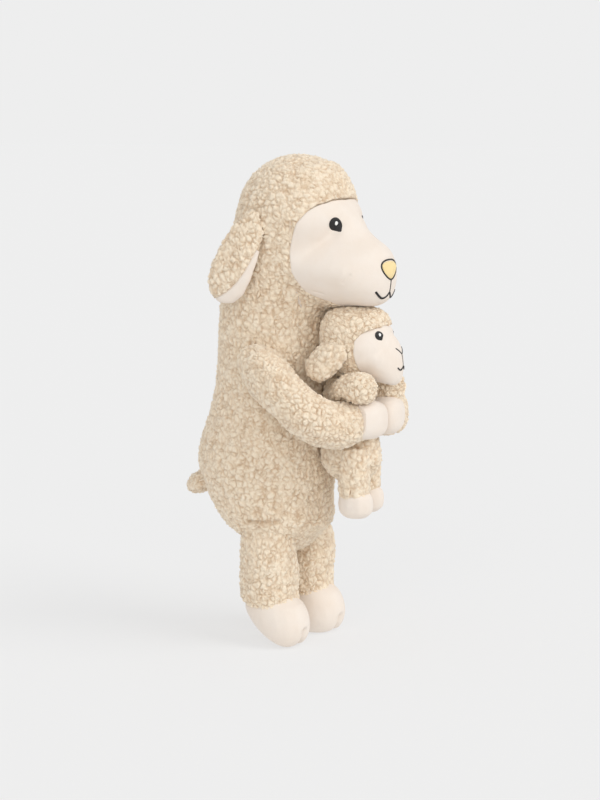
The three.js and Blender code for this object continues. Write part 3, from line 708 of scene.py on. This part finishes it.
for word, side in SIDES:
    hand_low, hand_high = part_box(f"hand_hoof_{word}")
    middle = (hand_low + hand_high) / 2
    cuff = Vector((side * 24 * MM, middle.y, middle.z))
    along = Vector((-side, -0.25, 0)).normalized()
    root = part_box(f"arm_cover_{word}")[1]
    bend = ((side * 48 * MM, root.y - 4 * MM, root.z), (side * 48 * MM, root.y - 34 * MM, root.z))
    limb(f"sleeve_{word}", f"arm_cover_{word}", f"arm_filling_{word}", f"arm_{word}", 2.6 * MM,
         full_sleeve(side, cuff, along), [(cuff + along * 12 * MM, along)], bend)
    hand = smooth_form(f"hand_{word}", [f"hand_hoof_{word}"], [f"arm_filling_{word}"], 1.8 * MM,
                       [(cuff - along * 5 * MM, -along)])
    moved_to(hand, places(hand) + (0, -2 * MM, 0))
    finished(hand, SMOOTH, f"arm_{word}", [f"hand_hoof_{word}"])

# %% [markdown]
# ## Legs
# Each leg is sewn on over a wide seam, so its top goes up into the torso. It ends in a cloven
# hoof: one stitch draws the toe in between its two halves, a short seam runs round the toe just
# above the ground, and the heel is cut away underneath.


# %% Legs
def post(x, y, low, high, radius):
    """A closed upright cylinder, to be joined to another form."""
    bpy.ops.mesh.primitive_cylinder_add(vertices=32, radius=radius, depth=high - low,
                                        location=(x, y, (low + high) / 2))
    made = bpy.context.object
    bpy.ops.object.transform_apply(location=True, rotation=True, scale=True)
    return made


def full_leg(side, hem):
    """A leg whose top goes up into the torso."""
    def shaping(piece):
        swollen(piece, 0.8 * MM)
        pulled(piece, (0, 0, hem + 14 * MM), (0, 0, hem + 40 * MM), (0, -1 * MM, 2 * MM))
        pulled(piece, (0, 0, hem + 34 * MM), (0, 0, hem + 66 * MM),
               (-side * 7 * MM, 4 * MM, 7 * MM))
    return shaping


def lifted_heel(side, low, high):
    """The underside slanted up towards the heel and the outside."""
    def shaping(piece):
        points = places(piece)
        back = (points[:, 1] - low.y) * 0.87 + (points[:, 0] - (low.x + high.x) / 2) * side * 0.5
        behind = np.clip((back - 15 * MM) / (37 * MM), 0, 1.2)
        lift = 24 * MM * behind ** 1.7 * (1 - points[:, 2] / high.z)
        points[:, 2] += lift * (points[:, 2] < high.z)
        moved_to(piece, points)
        modified(piece, "SMOOTH", factor=0.5, iterations=5)
    return shaping


for word, side in SIDES:
    low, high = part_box(f"leg_cover_{word}")
    hem, middle = low.z, (low + high) / 2
    top = post(middle.x, middle.y - 2 * MM, hem + 18 * MM, hem + 62 * MM, 19 * MM)
    leg = limb(f"leg_{word}", f"leg_cover_{word}", f"leg_filling_{word}", f"leg_{word}", 2.8 * MM,
               full_leg(side, hem), [((0, 0, hem - 4 * MM), (0, 0, -1))], extra=top)
    print("leg", [round(v / MM, 1) for v in (*low, *high)])
    hip_crease(leg, side)
    low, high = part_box(f"foot_hoof_{word}")
    foot = smooth_form(f"foot_{word}", [f"foot_hoof_{word}"], [f"leg_filling_{word}"], 2.2 * MM,
                       [((0, 0, high.z + 4 * MM), (0, 0, 1))], 0.0, lifted_heel(side, low, high))
    toe = Vector(((low.x + high.x) / 2, low.y, 0))
    cleft = [toe + Vector(step) * MM for step in ((0, 16, 0), (0, 7, 0), (0, 2, 6), (0, 1, 13))]
    creased(foot, cleft, 3.6 * MM, 4.5 * MM)
    seam = [toe + Vector((x, 0.02 * x * x, 6)) * MM for x in (-14, -7, 0, 7, 14)]
    creased(foot, seam, 1.0 * MM, 0.6 * MM)
    points = places(foot)
    points[:, 2] = np.maximum(points[:, 2], 0)
    moved_to(foot, points)
    finished(foot, SMOOTH, f"leg_{word}", [f"foot_hoof_{word}"])

# %% [markdown]
# ## Ears and tail
# An ear is a leaf of fleece with a velour lining that comes round its front edge and its tip. One
# stuffed form gives both, as for hood and face.


# %% Small pieces of fleece
def small_fleece(name, cover, body, filling=None, voxel=2 * MM, shaping=None, extra=None):
    """A small stuffed piece, refined and curled. An extra form can be joined to it first."""
    piece = form_of(name, [cover], [filling] if filling else [], voxel=voxel, smoothing=6,
                    extra=extra)
    if shaping:
        shaping(piece)
    refined(piece, 1)
    curled(piece)
    nodes = [cover, filling] if filling else [cover]
    return finished(piece, FLEECE, body, nodes)


# %% The ears
EAR_TURN = math.radians(14)
RIM_START = 0.37


def ear_shares(piece, word, side):
    """Where each point of an ear lies: its share of the way down, and how far forward and out."""
    ends = places(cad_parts[f"ear_{word}"])
    root, tip = ends[ends[:, 2].argmax()], ends[ends[:, 2].argmin()]
    run = tip - root
    out = np.array((side * math.cos(EAR_TURN), -math.sin(EAR_TURN), 0))
    out -= run * (out @ run) / (run @ run)
    out /= np.linalg.norm(out)
    front = np.cross(run, out)
    front *= -np.sign(front[1]) / np.linalg.norm(front)
    rest = places(piece) - root
    return rest @ run / (run @ run), rest @ front, rest @ out


for word, side in SIDES:
    lining = form_of(f"ear_{word}_lining", [f"ear_{word}", f"ear_lining_{word}"], voxel=1.7 * MM,
                     smoothing=5)
    refined(lining, 1)
    down, forward, out = ear_shares(lining, word, side)
    rim = np.clip((down - RIM_START) / (1 - RIM_START), 0, 1)
    edge = (14.5 - 8 * rim - 15 * rim ** 4) * MM
    band = np.where(rim > 0, np.clip((forward - edge) / (1.4 * MM), 0, 1), 0)
    inner = np.clip((-0.4 * MM - out) / (1.5 * MM), 0, 1)
    velvet = np.maximum(band, inner)
    outer = twin(lining, f"ear_{word}_fleece")
    normals = outward(outer)
    curled(outer)
    moved_to(outer, places(outer) + normals * (0.6 * MM - velvet * 3 * MM)[:, None])
    moved_to(lining, places(lining) - normals * ((1 - velvet) * 2 * MM)[:, None])
    finished(outer, FLEECE, f"ear_{word}", [f"ear_{word}"])
    finished(lining, SMOOTH, f"ear_{word}", [f"ear_lining_{word}"])

TAIL_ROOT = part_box("tail")[0].y


def hanging(piece):
    """The tail longer and bent down, its root well inside the torso."""
    pulled(piece, (0, TAIL_ROOT + 10 * MM, 0), (0, TAIL_ROOT + 30 * MM, 0), (0, 5 * MM, -5 * MM))
    pulled(piece, (0, TAIL_ROOT + 9 * MM, 0), (0, TAIL_ROOT + 2 * MM, 0), (0, -5 * MM, 0))


small_fleece("tail_stub", "tail", "tail", shaping=hanging)

# %% [markdown]
# ## The lamb
# The lamb is a smaller toy of the same make. Its arms end in a pucker, where one thread gathers
# the cloth over the stuffing, and its legs hang from the front of its torso.


# %% The lamb's head
def boxed_round(piece, centre, radius):
    """A ball filled out towards its corners, as a head packed under a chin is."""
    points = places(piece) - centre
    way = np.abs(points) / np.linalg.norm(points, axis=1)[:, None]
    fuller = 1 / (way ** 2.8).sum(axis=1) ** (1 / 2.8)
    high = eased(points[:, 2] / radius + 0.4)
    behind = 0.45 + 0.55 * eased((points[:, 1] + 0.3 * radius) / (0.5 * radius))
    points[:, 2] += 1.5 * MM * high
    return moved_to(piece, centre + points * (1 + (fuller - 1) * high * behind)[:, None])


def turned(piece, centre, angle):
    """The piece turned about an upright line."""
    points = places(piece) - centre
    c, s = math.cos(angle), math.sin(angle)
    x, y = points[:, 0] * c - points[:, 1] * s, points[:, 0] * s + points[:, 1] * c
    return moved_to(piece, centre + np.column_stack([x, y, points[:, 2]]))


LAMB_LOW, LAMB_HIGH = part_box("lamb_head_cover")
LAMB_SIZE = (LAMB_HIGH.x - LAMB_LOW.x) / 2
LAMB_CENTRE = np.array((0, LAMB_HIGH.y - LAMB_SIZE, LAMB_HIGH.z - LAMB_SIZE))
LAMB_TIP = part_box("lamb_face_panel")[0].y
LAMB_EYE = sum(corner.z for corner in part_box("lamb_eye_right")) / 2
LAMB_SEAM = ((0, LAMB_CENTRE[1], LAMB_EYE - 4 * MM),
             [(-90, 60), (-45, 76), (-20, 79), (0, 77), (12, 68), (24, 50), (40, 34), (90, 22)])
LAMB_TURN = math.radians(10)
print("lamb's head", LAMB_CENTRE.round(4), round(LAMB_SIZE / MM, 1))

lamb_hood = form_of("lamb_hood", ["lamb_head_cover", "lamb_face_panel"], ["lamb_head_filling"],
                    voxel=2 * MM, smoothing=6)
muzzled(lamb_hood, LAMB_SIZE, LAMB_CENTRE[2] - 12 * MM, LAMB_TIP, LAMB_CENTRE[2] - 0.7 * LAMB_SIZE,
        LAMB_CENTRE[2] + 0.9 * LAMB_SIZE, 1 * MM)
stuffed(lamb_hood, cap=0.8 * MM)
lamb_face = halved(twin(lamb_hood, "lamb_face"), (0, LAMB_CENTRE[1], 0), (0, 1, 0))
boxed_round(lamb_hood, LAMB_CENTRE, LAMB_SIZE)
sewn_pair(lamb_hood, lamb_face, LAMB_SEAM, 8 * MM, 2.5 * MM)
for piece in (lamb_hood, lamb_face):
    turned(piece, LAMB_CENTRE, LAMB_TURN)
finished(lamb_hood, FLEECE, "body", ["lamb_head_cover", "lamb_head_filling"])
finished(lamb_face, SMOOTH, "body", ["lamb_face_panel"])


# %% The lamb's torso and limbs
def pucker(piece):
    """An arm's round end, with short creases that run out from its middle."""
    refined(piece, 1)
    swollen(piece, 1.6 * MM)
    points = places(piece)
    tip = points[points[:, 1].argmin()]
    for turn in range(5):
        angle = math.tau * (turn + 0.3) / 5
        way = np.array((math.cos(angle), 0.25, math.sin(angle)))
        creased(piece, [tip, tip + way * 5 * MM], 1.0 * MM, 1.5 * MM)


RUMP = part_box("lamb_torso_cover")[0].z
small_fleece("lamb_torso", "lamb_torso_cover", "body", "lamb_torso_filling",
             shaping=lambda piece: pulled(piece, (0, 0, RUMP + 40 * MM), (0, 0, RUMP),
                                          (0, 0, 11 * MM)))
for word, side in SIDES:
    small_fleece(f"lamb_ear_{word}_fleece", f"lamb_ear_{word}", f"lamb_ear_{word}",
                 shaping=lambda piece: swollen(piece, 0.8 * MM))
    lamb_arm = small_fleece(f"lamb_arm_{word}_fleece", f"lamb_arm_{word}", f"lamb_arm_{word}",
                            shaping=pucker)
    if side > 0:
        moved_to(lamb_arm, places(lamb_arm) + np.array((-3, 3, -3)) * MM)
    hoof_low, hoof_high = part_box(f"lamb_hoof_{word}")
    hip = (hoof_low + hoof_high) / 2
    leg_post = post(hip.x, hip.y + 1 * MM, hoof_low.z + 16 * MM, hoof_low.z + 58 * MM, 12.4 * MM)
    small_fleece(f"lamb_leg_{word}_fleece", f"lamb_leg_{word}", f"lamb_leg_{word}", extra=leg_post)
    lamb_hoof = smooth_form(f"lamb_{word}_hoof", [f"lamb_hoof_{word}"], [], 1.5 * MM)
    finished(lamb_hoof, SMOOTH, f"lamb_leg_{word}", [f"lamb_hoof_{word}"])

# %% [markdown]
# ## Embroidery
# The eyes, the nose and the mouths are satin stitch: glossy threads lie side by side across a
# shape, from edge to edge, and stand a little proud of the cloth. A grid of points is a good
# start for one, with its long way along the shape and its short way along each thread. It is
# laid on the face, and each thread swells in the middle and dives into the cloth at its ends.

# %% Thread
THREAD = 0.42 * MM
SATIN = 0.8 * MM
ROOT = -0.35 * MM
SEEN_FROM = 20 * MM


def thread_material(name, colour, shade):
    """Threads that run across the grid, by the grid's own UV map: u counts the threads. Each thread
    has painted shade: the shade colour at its edges, its own colour in its middle.
    """
    made, tree, shader = material(name)
    chart = node(tree, "ShaderNodeUVMap", {"uv_map": "UVMap"})
    u = node(tree, "ShaderNodeSeparateXYZ", {}, chart)
    ply = noise(tree, object_place(tree), 0.5 * MM, detail=2)
    # Painted shade between threads: 0 at each thread's edges, 1 in its middle.
    wave = u.math("FRACT").math("PINGPONG", 0.5) * 2
    share = (wave * 0.8 + ply * 0.4).clamped()
    feed(tree, shader, "Base Color", blended(tree, share, shade, colour))
    finish_of(shader, 0.5, 0.35, 0.15, (1, 1, 1))
    return made


# The second colour of each thread is its painted shade, used at the edges of every thread.
BLACK = thread_material("black_thread", (0.018, 0.016, 0.015), (0.007, 0.006, 0.006))
WHITE = thread_material("white_thread", (0.92, 0.92, 0.90), (0.78, 0.77, 0.74))
YELLOW = thread_material("yellow_thread", (0.93, 0.76, 0.42), (0.80, 0.61, 0.28))


class Cloth:
    """A face as a surface to sew on, with a flat drawing plane in front of it."""

    def __init__(self, piece, x, z, facing=None):
        self.tree = BVHTree.FromPolygons([v.co for v in piece.data.vertices],
                                         [p.vertices[:] for p in piece.data.polygons])
        hit, normal, _, _ = self.tree.ray_cast(Vector((x, -1, z)), Vector((0, 1, 0)))
        self.origin = hit
        self.facing = Vector(facing or normal).normalized()
        self.right = Vector((0, 0, 1)).cross(self.facing).normalized()
        self.up = self.facing.cross(self.right)

    def laid(self, a, b, lift):
        """A place of the drawing on the cloth, lifted off it."""
        start = self.origin + self.right * a + self.up * b + self.facing * SEEN_FROM
        hit, normal, _, _ = self.tree.ray_cast(start, -self.facing)
        if hit is None:
            hit, normal, _, _ = self.tree.find_nearest(start - self.facing * SEEN_FROM)
        return hit + normal * lift


STEPS_PER_THREAD = 4
ACROSS = 12


def satin(name, cloth, edges, length, height, body, shade, under=0.0):
    """Threads from one edge to the other. The edges are two lists of places in the drawing."""
    threads = max(6, round(length / THREAD))
    rows, ring = threads * STEPS_PER_THREAD, 2 * ACROSS
    bpy.ops.object.select_all(action="DESELECT")
    bpy.ops.mesh.primitive_grid_add(x_subdivisions=rows, y_subdivisions=ring, size=1)
    piece = bpy.context.object
    piece.name = name
    chart = piece.data.uv_layers[0]
    chart.name = "UVMap"
    where = np.empty(len(chart.data) * 2, np.float32)
    chart.data.foreach_get("uv", where)
    where = where.reshape(-1, 2) * (threads, 1)
    chart.data.foreach_set("uv", where.astype(np.float32).ravel())
    t, turn, _ = (places(piece) + 0.5).T
    v = np.where(turn < 0.5, 2 * turn, 2 - 2 * turn)
    low, high = (np.array(edge, float) for edge in edges)
    marks = np.linspace(0, 1, len(low))
    start = np.column_stack([np.interp(t, marks, low[:, k]) for k in (0, 1)])
    end = np.column_stack([np.interp(t, marks, high[:, k]) for k in (0, 1)])
    width = np.linalg.norm(end - start, axis=1)
    drawn = start + (end - start) * v[:, None]
    swell = np.sqrt(np.clip(1 - (2 * v - 1) ** 2, 0, 1)) * np.minimum(1, width / (2 * height))
    ridge = 0.75 + 0.25 * np.abs(np.sin(math.pi * t * threads))
    lift = under + np.where(turn < 0.5, height * swell * ridge, ROOT)
    moved_to(piece, np.array([cloth.laid(a, b, up) for (a, b), up in zip(drawn, lift)]))
    bpy.ops.object.mode_set(mode="EDIT")
    bpy.ops.mesh.select_all(action="SELECT")
    bpy.ops.mesh.remove_doubles(threshold=0.005 * MM)
    bpy.ops.mesh.normals_make_consistent(inside=False)
    bpy.ops.object.mode_set(mode="OBJECT")
    bpy.ops.object.shade_smooth()
    piece.data.materials.append(shade)
    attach(piece, body)
    return piece


def filled(outline, steps=60):
    """The lower and the upper edge of a closed outline, for threads that run up and down."""
    points = np.array(outline)
    left, right = points[:, 0].argmin(), points[:, 0].argmax()
    turned = np.roll(points, -left, axis=0)
    cut = (right - left) % len(points)
    first, second = turned[:cut + 1], np.vstack([turned[cut:], turned[:1]])[::-1]
    share = (1 - np.cos(np.linspace(0, math.pi, steps))) / 2
    xs = points[left, 0] + (points[right, 0] - points[left, 0]) * share
    edges = [np.column_stack([xs, np.interp(xs, edge[:, 0], edge[:, 1])])
             for edge in (first, second)]
    return sorted(edges, key=lambda edge: edge[:, 1].mean())


def column(route, width, steps=90):
    """The two edges of a narrow line of satin along a route, round at its ends."""
    route = np.array(route, float)
    marks = np.concatenate([[0], np.cumsum(np.linalg.norm(np.diff(route, axis=0), axis=1))])
    smooth = np.linspace(0, marks[-1], steps)
    line = np.column_stack([np.interp(smooth, marks, route[:, k]) for k in (0, 1)])
    run = np.gradient(line, axis=0)
    run /= np.linalg.norm(run, axis=1)[:, None]
    out = np.column_stack([-run[:, 1], run[:, 0]])
    near = np.minimum(smooth, marks[-1] - smooth) / (width / 2)
    half = width / 2 * np.sqrt(np.clip(1 - (1 - np.clip(near, 0, 1)) ** 2, 0, 1))
    return [line - out * half[:, None], line + out * half[:, None]], marks[-1]


def curve_through(corners, steps=24):
    """A smooth route through a few corners, by quadratic Bezier arcs between their midpoints."""
    corners = [np.array(corner, float) for corner in corners]
    points = [corners[0]]
    stops = [corners[0], *[(a + b) / 2 for a, b in zip(corners[1:], corners[2:-1])], corners[-1]]
    for start, corner, end in zip(stops, corners[1:-1], stops[1:]):
        for step in np.linspace(0, 1, steps)[1:]:
            points.append(start * (1 - step) ** 2 + corner * 2 * step * (1 - step)
                          + end * step ** 2)
    return points


# %% Eyes
def eye_outline(radius, side):
    """A circle with a small point, low and towards the nose."""
    point = math.radians(-60 if side < 0 else -120)
    outline = []
    for turn in np.linspace(0, math.tau, 73)[:-1]:
        off = (turn - point + math.pi) % math.tau - math.pi
        reach = radius * (1 + 0.2 * math.exp(-(off / 0.3) ** 2))
        outline.append((reach * math.cos(turn), reach * math.sin(turn)))
    return outline


def oval(x, y, wide, tall):
    """A closed oval round a place of the drawing."""
    return [(x + wide * math.cos(turn), y + tall * math.sin(turn))
            for turn in np.linspace(0, math.tau, 49)[:-1]]


def eyes(prefix, piece, across, height, radius, spot):
    """Both eyes of one face."""
    for (word, side), x in zip(SIDES, across):
        cloth = Cloth(piece, x, height)
        print(f"{prefix}eye_{word}", "faces", [round(k, 2) for k in cloth.facing])
        pupil = satin(f"{prefix}eye_{word}_satin", cloth, filled(eye_outline(radius, side)),
                      2 * radius, SATIN, "body", BLACK)
        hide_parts(f"{prefix}eye_{word}")
        inwards, up, wide, tall = spot
        spark = filled(oval(-side * inwards, up, wide, tall))
        light = satin(f"{prefix}eye_{word}_light", cloth, spark, 2 * wide, 0.45 * MM, "body",
                      WHITE, under=0.75 * MM)
        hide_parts(f"{prefix}eye_highlight_{word}")


def height_of(node_name):
    """The middle height of a node."""
    low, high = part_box(node_name)
    return (low.z + high.z) / 2


eyes("", face, (-20.5 * MM, 21.5 * MM), height_of("eye_right"), 5.5 * MM,
     (0.8 * MM, 0.5 * MM, 1.4 * MM, 1.7 * MM))
eyes("lamb_", lamb_face, (-11.5 * MM, 21 * MM), height_of("lamb_eye_right"), 3.8 * MM,
     (0.3 * MM, 0.4 * MM, 1.0 * MM, 1.35 * MM))

# %% Nose and mouth
NOSE_WIDE, NOSE_TALL = 10.6 * MM, 7.2 * MM
NOSE_SHARES = [(0, -1), (0.4, -0.95), (1, -0.2), (1, 0.3), (1, 0.76), (0.62, 1), (0, 1)]


def nose_outline(margin):
    """A rounded triangle on its tip, larger all round by the margin."""
    w, h = NOSE_WIDE + margin, NOSE_TALL + margin
    tip, b, c, corner, d, e, top = [np.array((x * w, y * h)) for x, y in NOSE_SHARES]
    half = []
    for p0, p1, p2, p3 in ((tip, b, c, corner), (corner, d, e, top)):
        for t in np.linspace(0, 1, 20)[:-1]:
            half.append(p0 * (1 - t) ** 3 + p1 * 3 * t * (1 - t) ** 2
                        + p2 * 3 * t * t * (1 - t) + p3 * t ** 3)
    half.append(top)
    return half + [point * (-1, 1) for point in half[-2:0:-1]]


AHEAD = (0, -1, 0)
snout = Cloth(face, 0, NOSE, AHEAD)
patch = satin("nose_satin", snout, filled(nose_outline(0)), 2 * NOSE_WIDE, SATIN, "body",
              YELLOW)
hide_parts("nose_patch")
loop = nose_outline(0.6 * MM)
edges, length = column([*loop, loop[0]], 1.3 * MM, steps=160)
rim = satin("nose_edge_satin", snout, edges, length, SATIN, "body", BLACK)
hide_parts("nose_outline")


def sewn_lines(name, piece, x, z, facing, strokes, node_name):
    """Several lines of satin as one piece of thread."""
    cloth = Cloth(piece, x, z, facing)
    made = []
    for number, (route, width) in enumerate(strokes):
        edges, length = column(np.array(route) * MM, width * MM)
        made.append(satin(f"{name}_{number}", cloth, edges, length, 0.7 * MM, "body",
                          BLACK))
    bpy.ops.object.select_all(action="DESELECT")
    for line in made:
        line.select_set(True)
    bpy.context.view_layer.objects.active = made[0]
    bpy.ops.object.join()
    made[0].name = name
    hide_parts(node_name)
    return made[0]


MOUTH_DROP = 18 * MM
smile = [([(0, 11), (0, 5), (0, 0)], 1.0)]
for _, side in SIDES:
    branch = curve_through([(0, 0.6), (side * 3, -4), (side * 9, -4.6), (side * 15, 1.4)])
    smile.append((branch, 1.6))
sewn_lines("mouth_satin", face, 0, NOSE - MOUTH_DROP, AHEAD, smile, "mouth_thread")

LAMB_NOSE = 240 * MM
lamb_smile = [([(0, 0), (0, -5), (0, -9.6)], 0.7)]
for _, side in SIDES:
    lamb_smile.append(([(0, 0), (side * 6.8, 5.2)], 1.0))
    branch = curve_through([(0, -9.4), (side * 2.5, -12.2), (side * 5, -12.2), (side * 7.4, -10)])
    lamb_smile.append((branch, 1.3))
lamb_ahead = (math.sin(LAMB_TURN), -math.cos(LAMB_TURN), 0)
lamb_reach = LAMB_CENTRE[1] - LAMB_TIP
sewn_lines("lamb_mouth_satin", lamb_face, lamb_reach * lamb_ahead[0], LAMB_NOSE, lamb_ahead,
           lamb_smile, "lamb_mouth_thread")
showing = [name for name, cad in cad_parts.items() if not cad.hide_render]
print("model nodes that still show:", showing)
print("simulated for", round(sum(sim_seconds), 1), "s")

# %% [markdown]
# ## Floor, light and camera
# The floor and the background are one pale grey. The floor gives part of it as its own colour,
# which takes the soft shadow, and the rest as plain light, so that it meets the background
# without a line. A wide soft sun stands on the right, another near the camera, and the sky fills
# in evenly.

# %% The studio
FLOOR_SIZE = 60
BACKGROUND = 0.855
SKY = 0.66
FLOOR_TAKES = 0.3
SUNS = {"key": (1.1, 40, 5, 42), "fill": (0.85, 60, -62, 14)}
FLOOR_LIGHT = SKY + sum(strength * math.sin(math.radians(up)) / math.pi
                        for strength, _, _, up in SUNS.values())


def floor_material():
    """A floor that shows soft shadow and else looks like the background."""
    made, tree, shader = material("studio_floor")
    tree.nodes.remove(shader)
    out = tree.nodes["Material Output"]
    diffuse = node(tree, "ShaderNodeBsdfDiffuse", {}, (FLOOR_TAKES,) * 3 + (1,))
    glow = node(tree, "ShaderNodeEmission", {}, (1, 1, 1, 1),
                BACKGROUND - FLOOR_TAKES * FLOOR_LIGHT)
    both = node(tree, "ShaderNodeAddShader", {}, diffuse, glow)
    tree.links.new(both.socket, out.inputs["Surface"])
    return made


bpy.ops.object.select_all(action="DESELECT")
bpy.ops.mesh.primitive_plane_add(size=FLOOR_SIZE, location=(0, 0, 0))
floor = bpy.context.object
floor.name = "studio_floor"
floor.data.materials.append(floor_material())

world = bpy.data.worlds.new("studio")
bpy.context.scene.world = world
world.use_nodes = True
sky = world.node_tree
background = sky.nodes["Background"]
plain = node(sky, "ShaderNodeBackground", {}, (BACKGROUND,) * 3 + (1,), 1.0)
background.inputs["Color"].default_value = (1, 1, 1, 1)
background.inputs["Strength"].default_value = SKY
rays = [node(sky, "ShaderNodeLightPath", {}, out=number) for number in (0, 3, 6)]
seen = (rays[0] + rays[1] + rays[2]).clamped()
mixed = node(sky, "ShaderNodeMixShader", {}, seen, Wire(sky, background.outputs[0]), plain)
sky.links.new(mixed.socket, sky.nodes["World Output"].inputs["Surface"])


def toward(azimuth, elevation):
    """The direction from the toy to something seen at that azimuth and elevation, in degrees."""
    a, e = math.radians(azimuth), math.radians(elevation)
    return Vector((math.sin(a) * math.cos(e), -math.cos(a) * math.cos(e), math.sin(e)))


for name, (strength, angle, azimuth, elevation) in SUNS.items():
    bpy.ops.object.light_add(type="SUN")
    lamp = bpy.context.object
    lamp.name = name
    lamp.data.energy = strength
    lamp.data.angle = math.radians(angle)
    lamp.rotation_euler = toward(azimuth, elevation).to_track_quat("Z", "Y").to_euler()

# %% The camera
DISTANCE = 1.6
FRAME_HEIGHT = 650 * MM
SENSOR = 36
TARGET = Vector((0, -6.95, 197.5)) * MM
back = toward(-58, 8)
bpy.ops.object.camera_add()
camera = bpy.context.object
camera.name = "camera"
camera.location = TARGET + back * DISTANCE
camera.rotation_euler = back.to_track_quat("Z", "Y").to_euler()
camera.data.sensor_width = SENSOR
camera.data.lens = SENSOR * DISTANCE / FRAME_HEIGHT
bpy.context.scene.camera = camera
bpy.context.scene.view_settings.view_transform = "Standard"
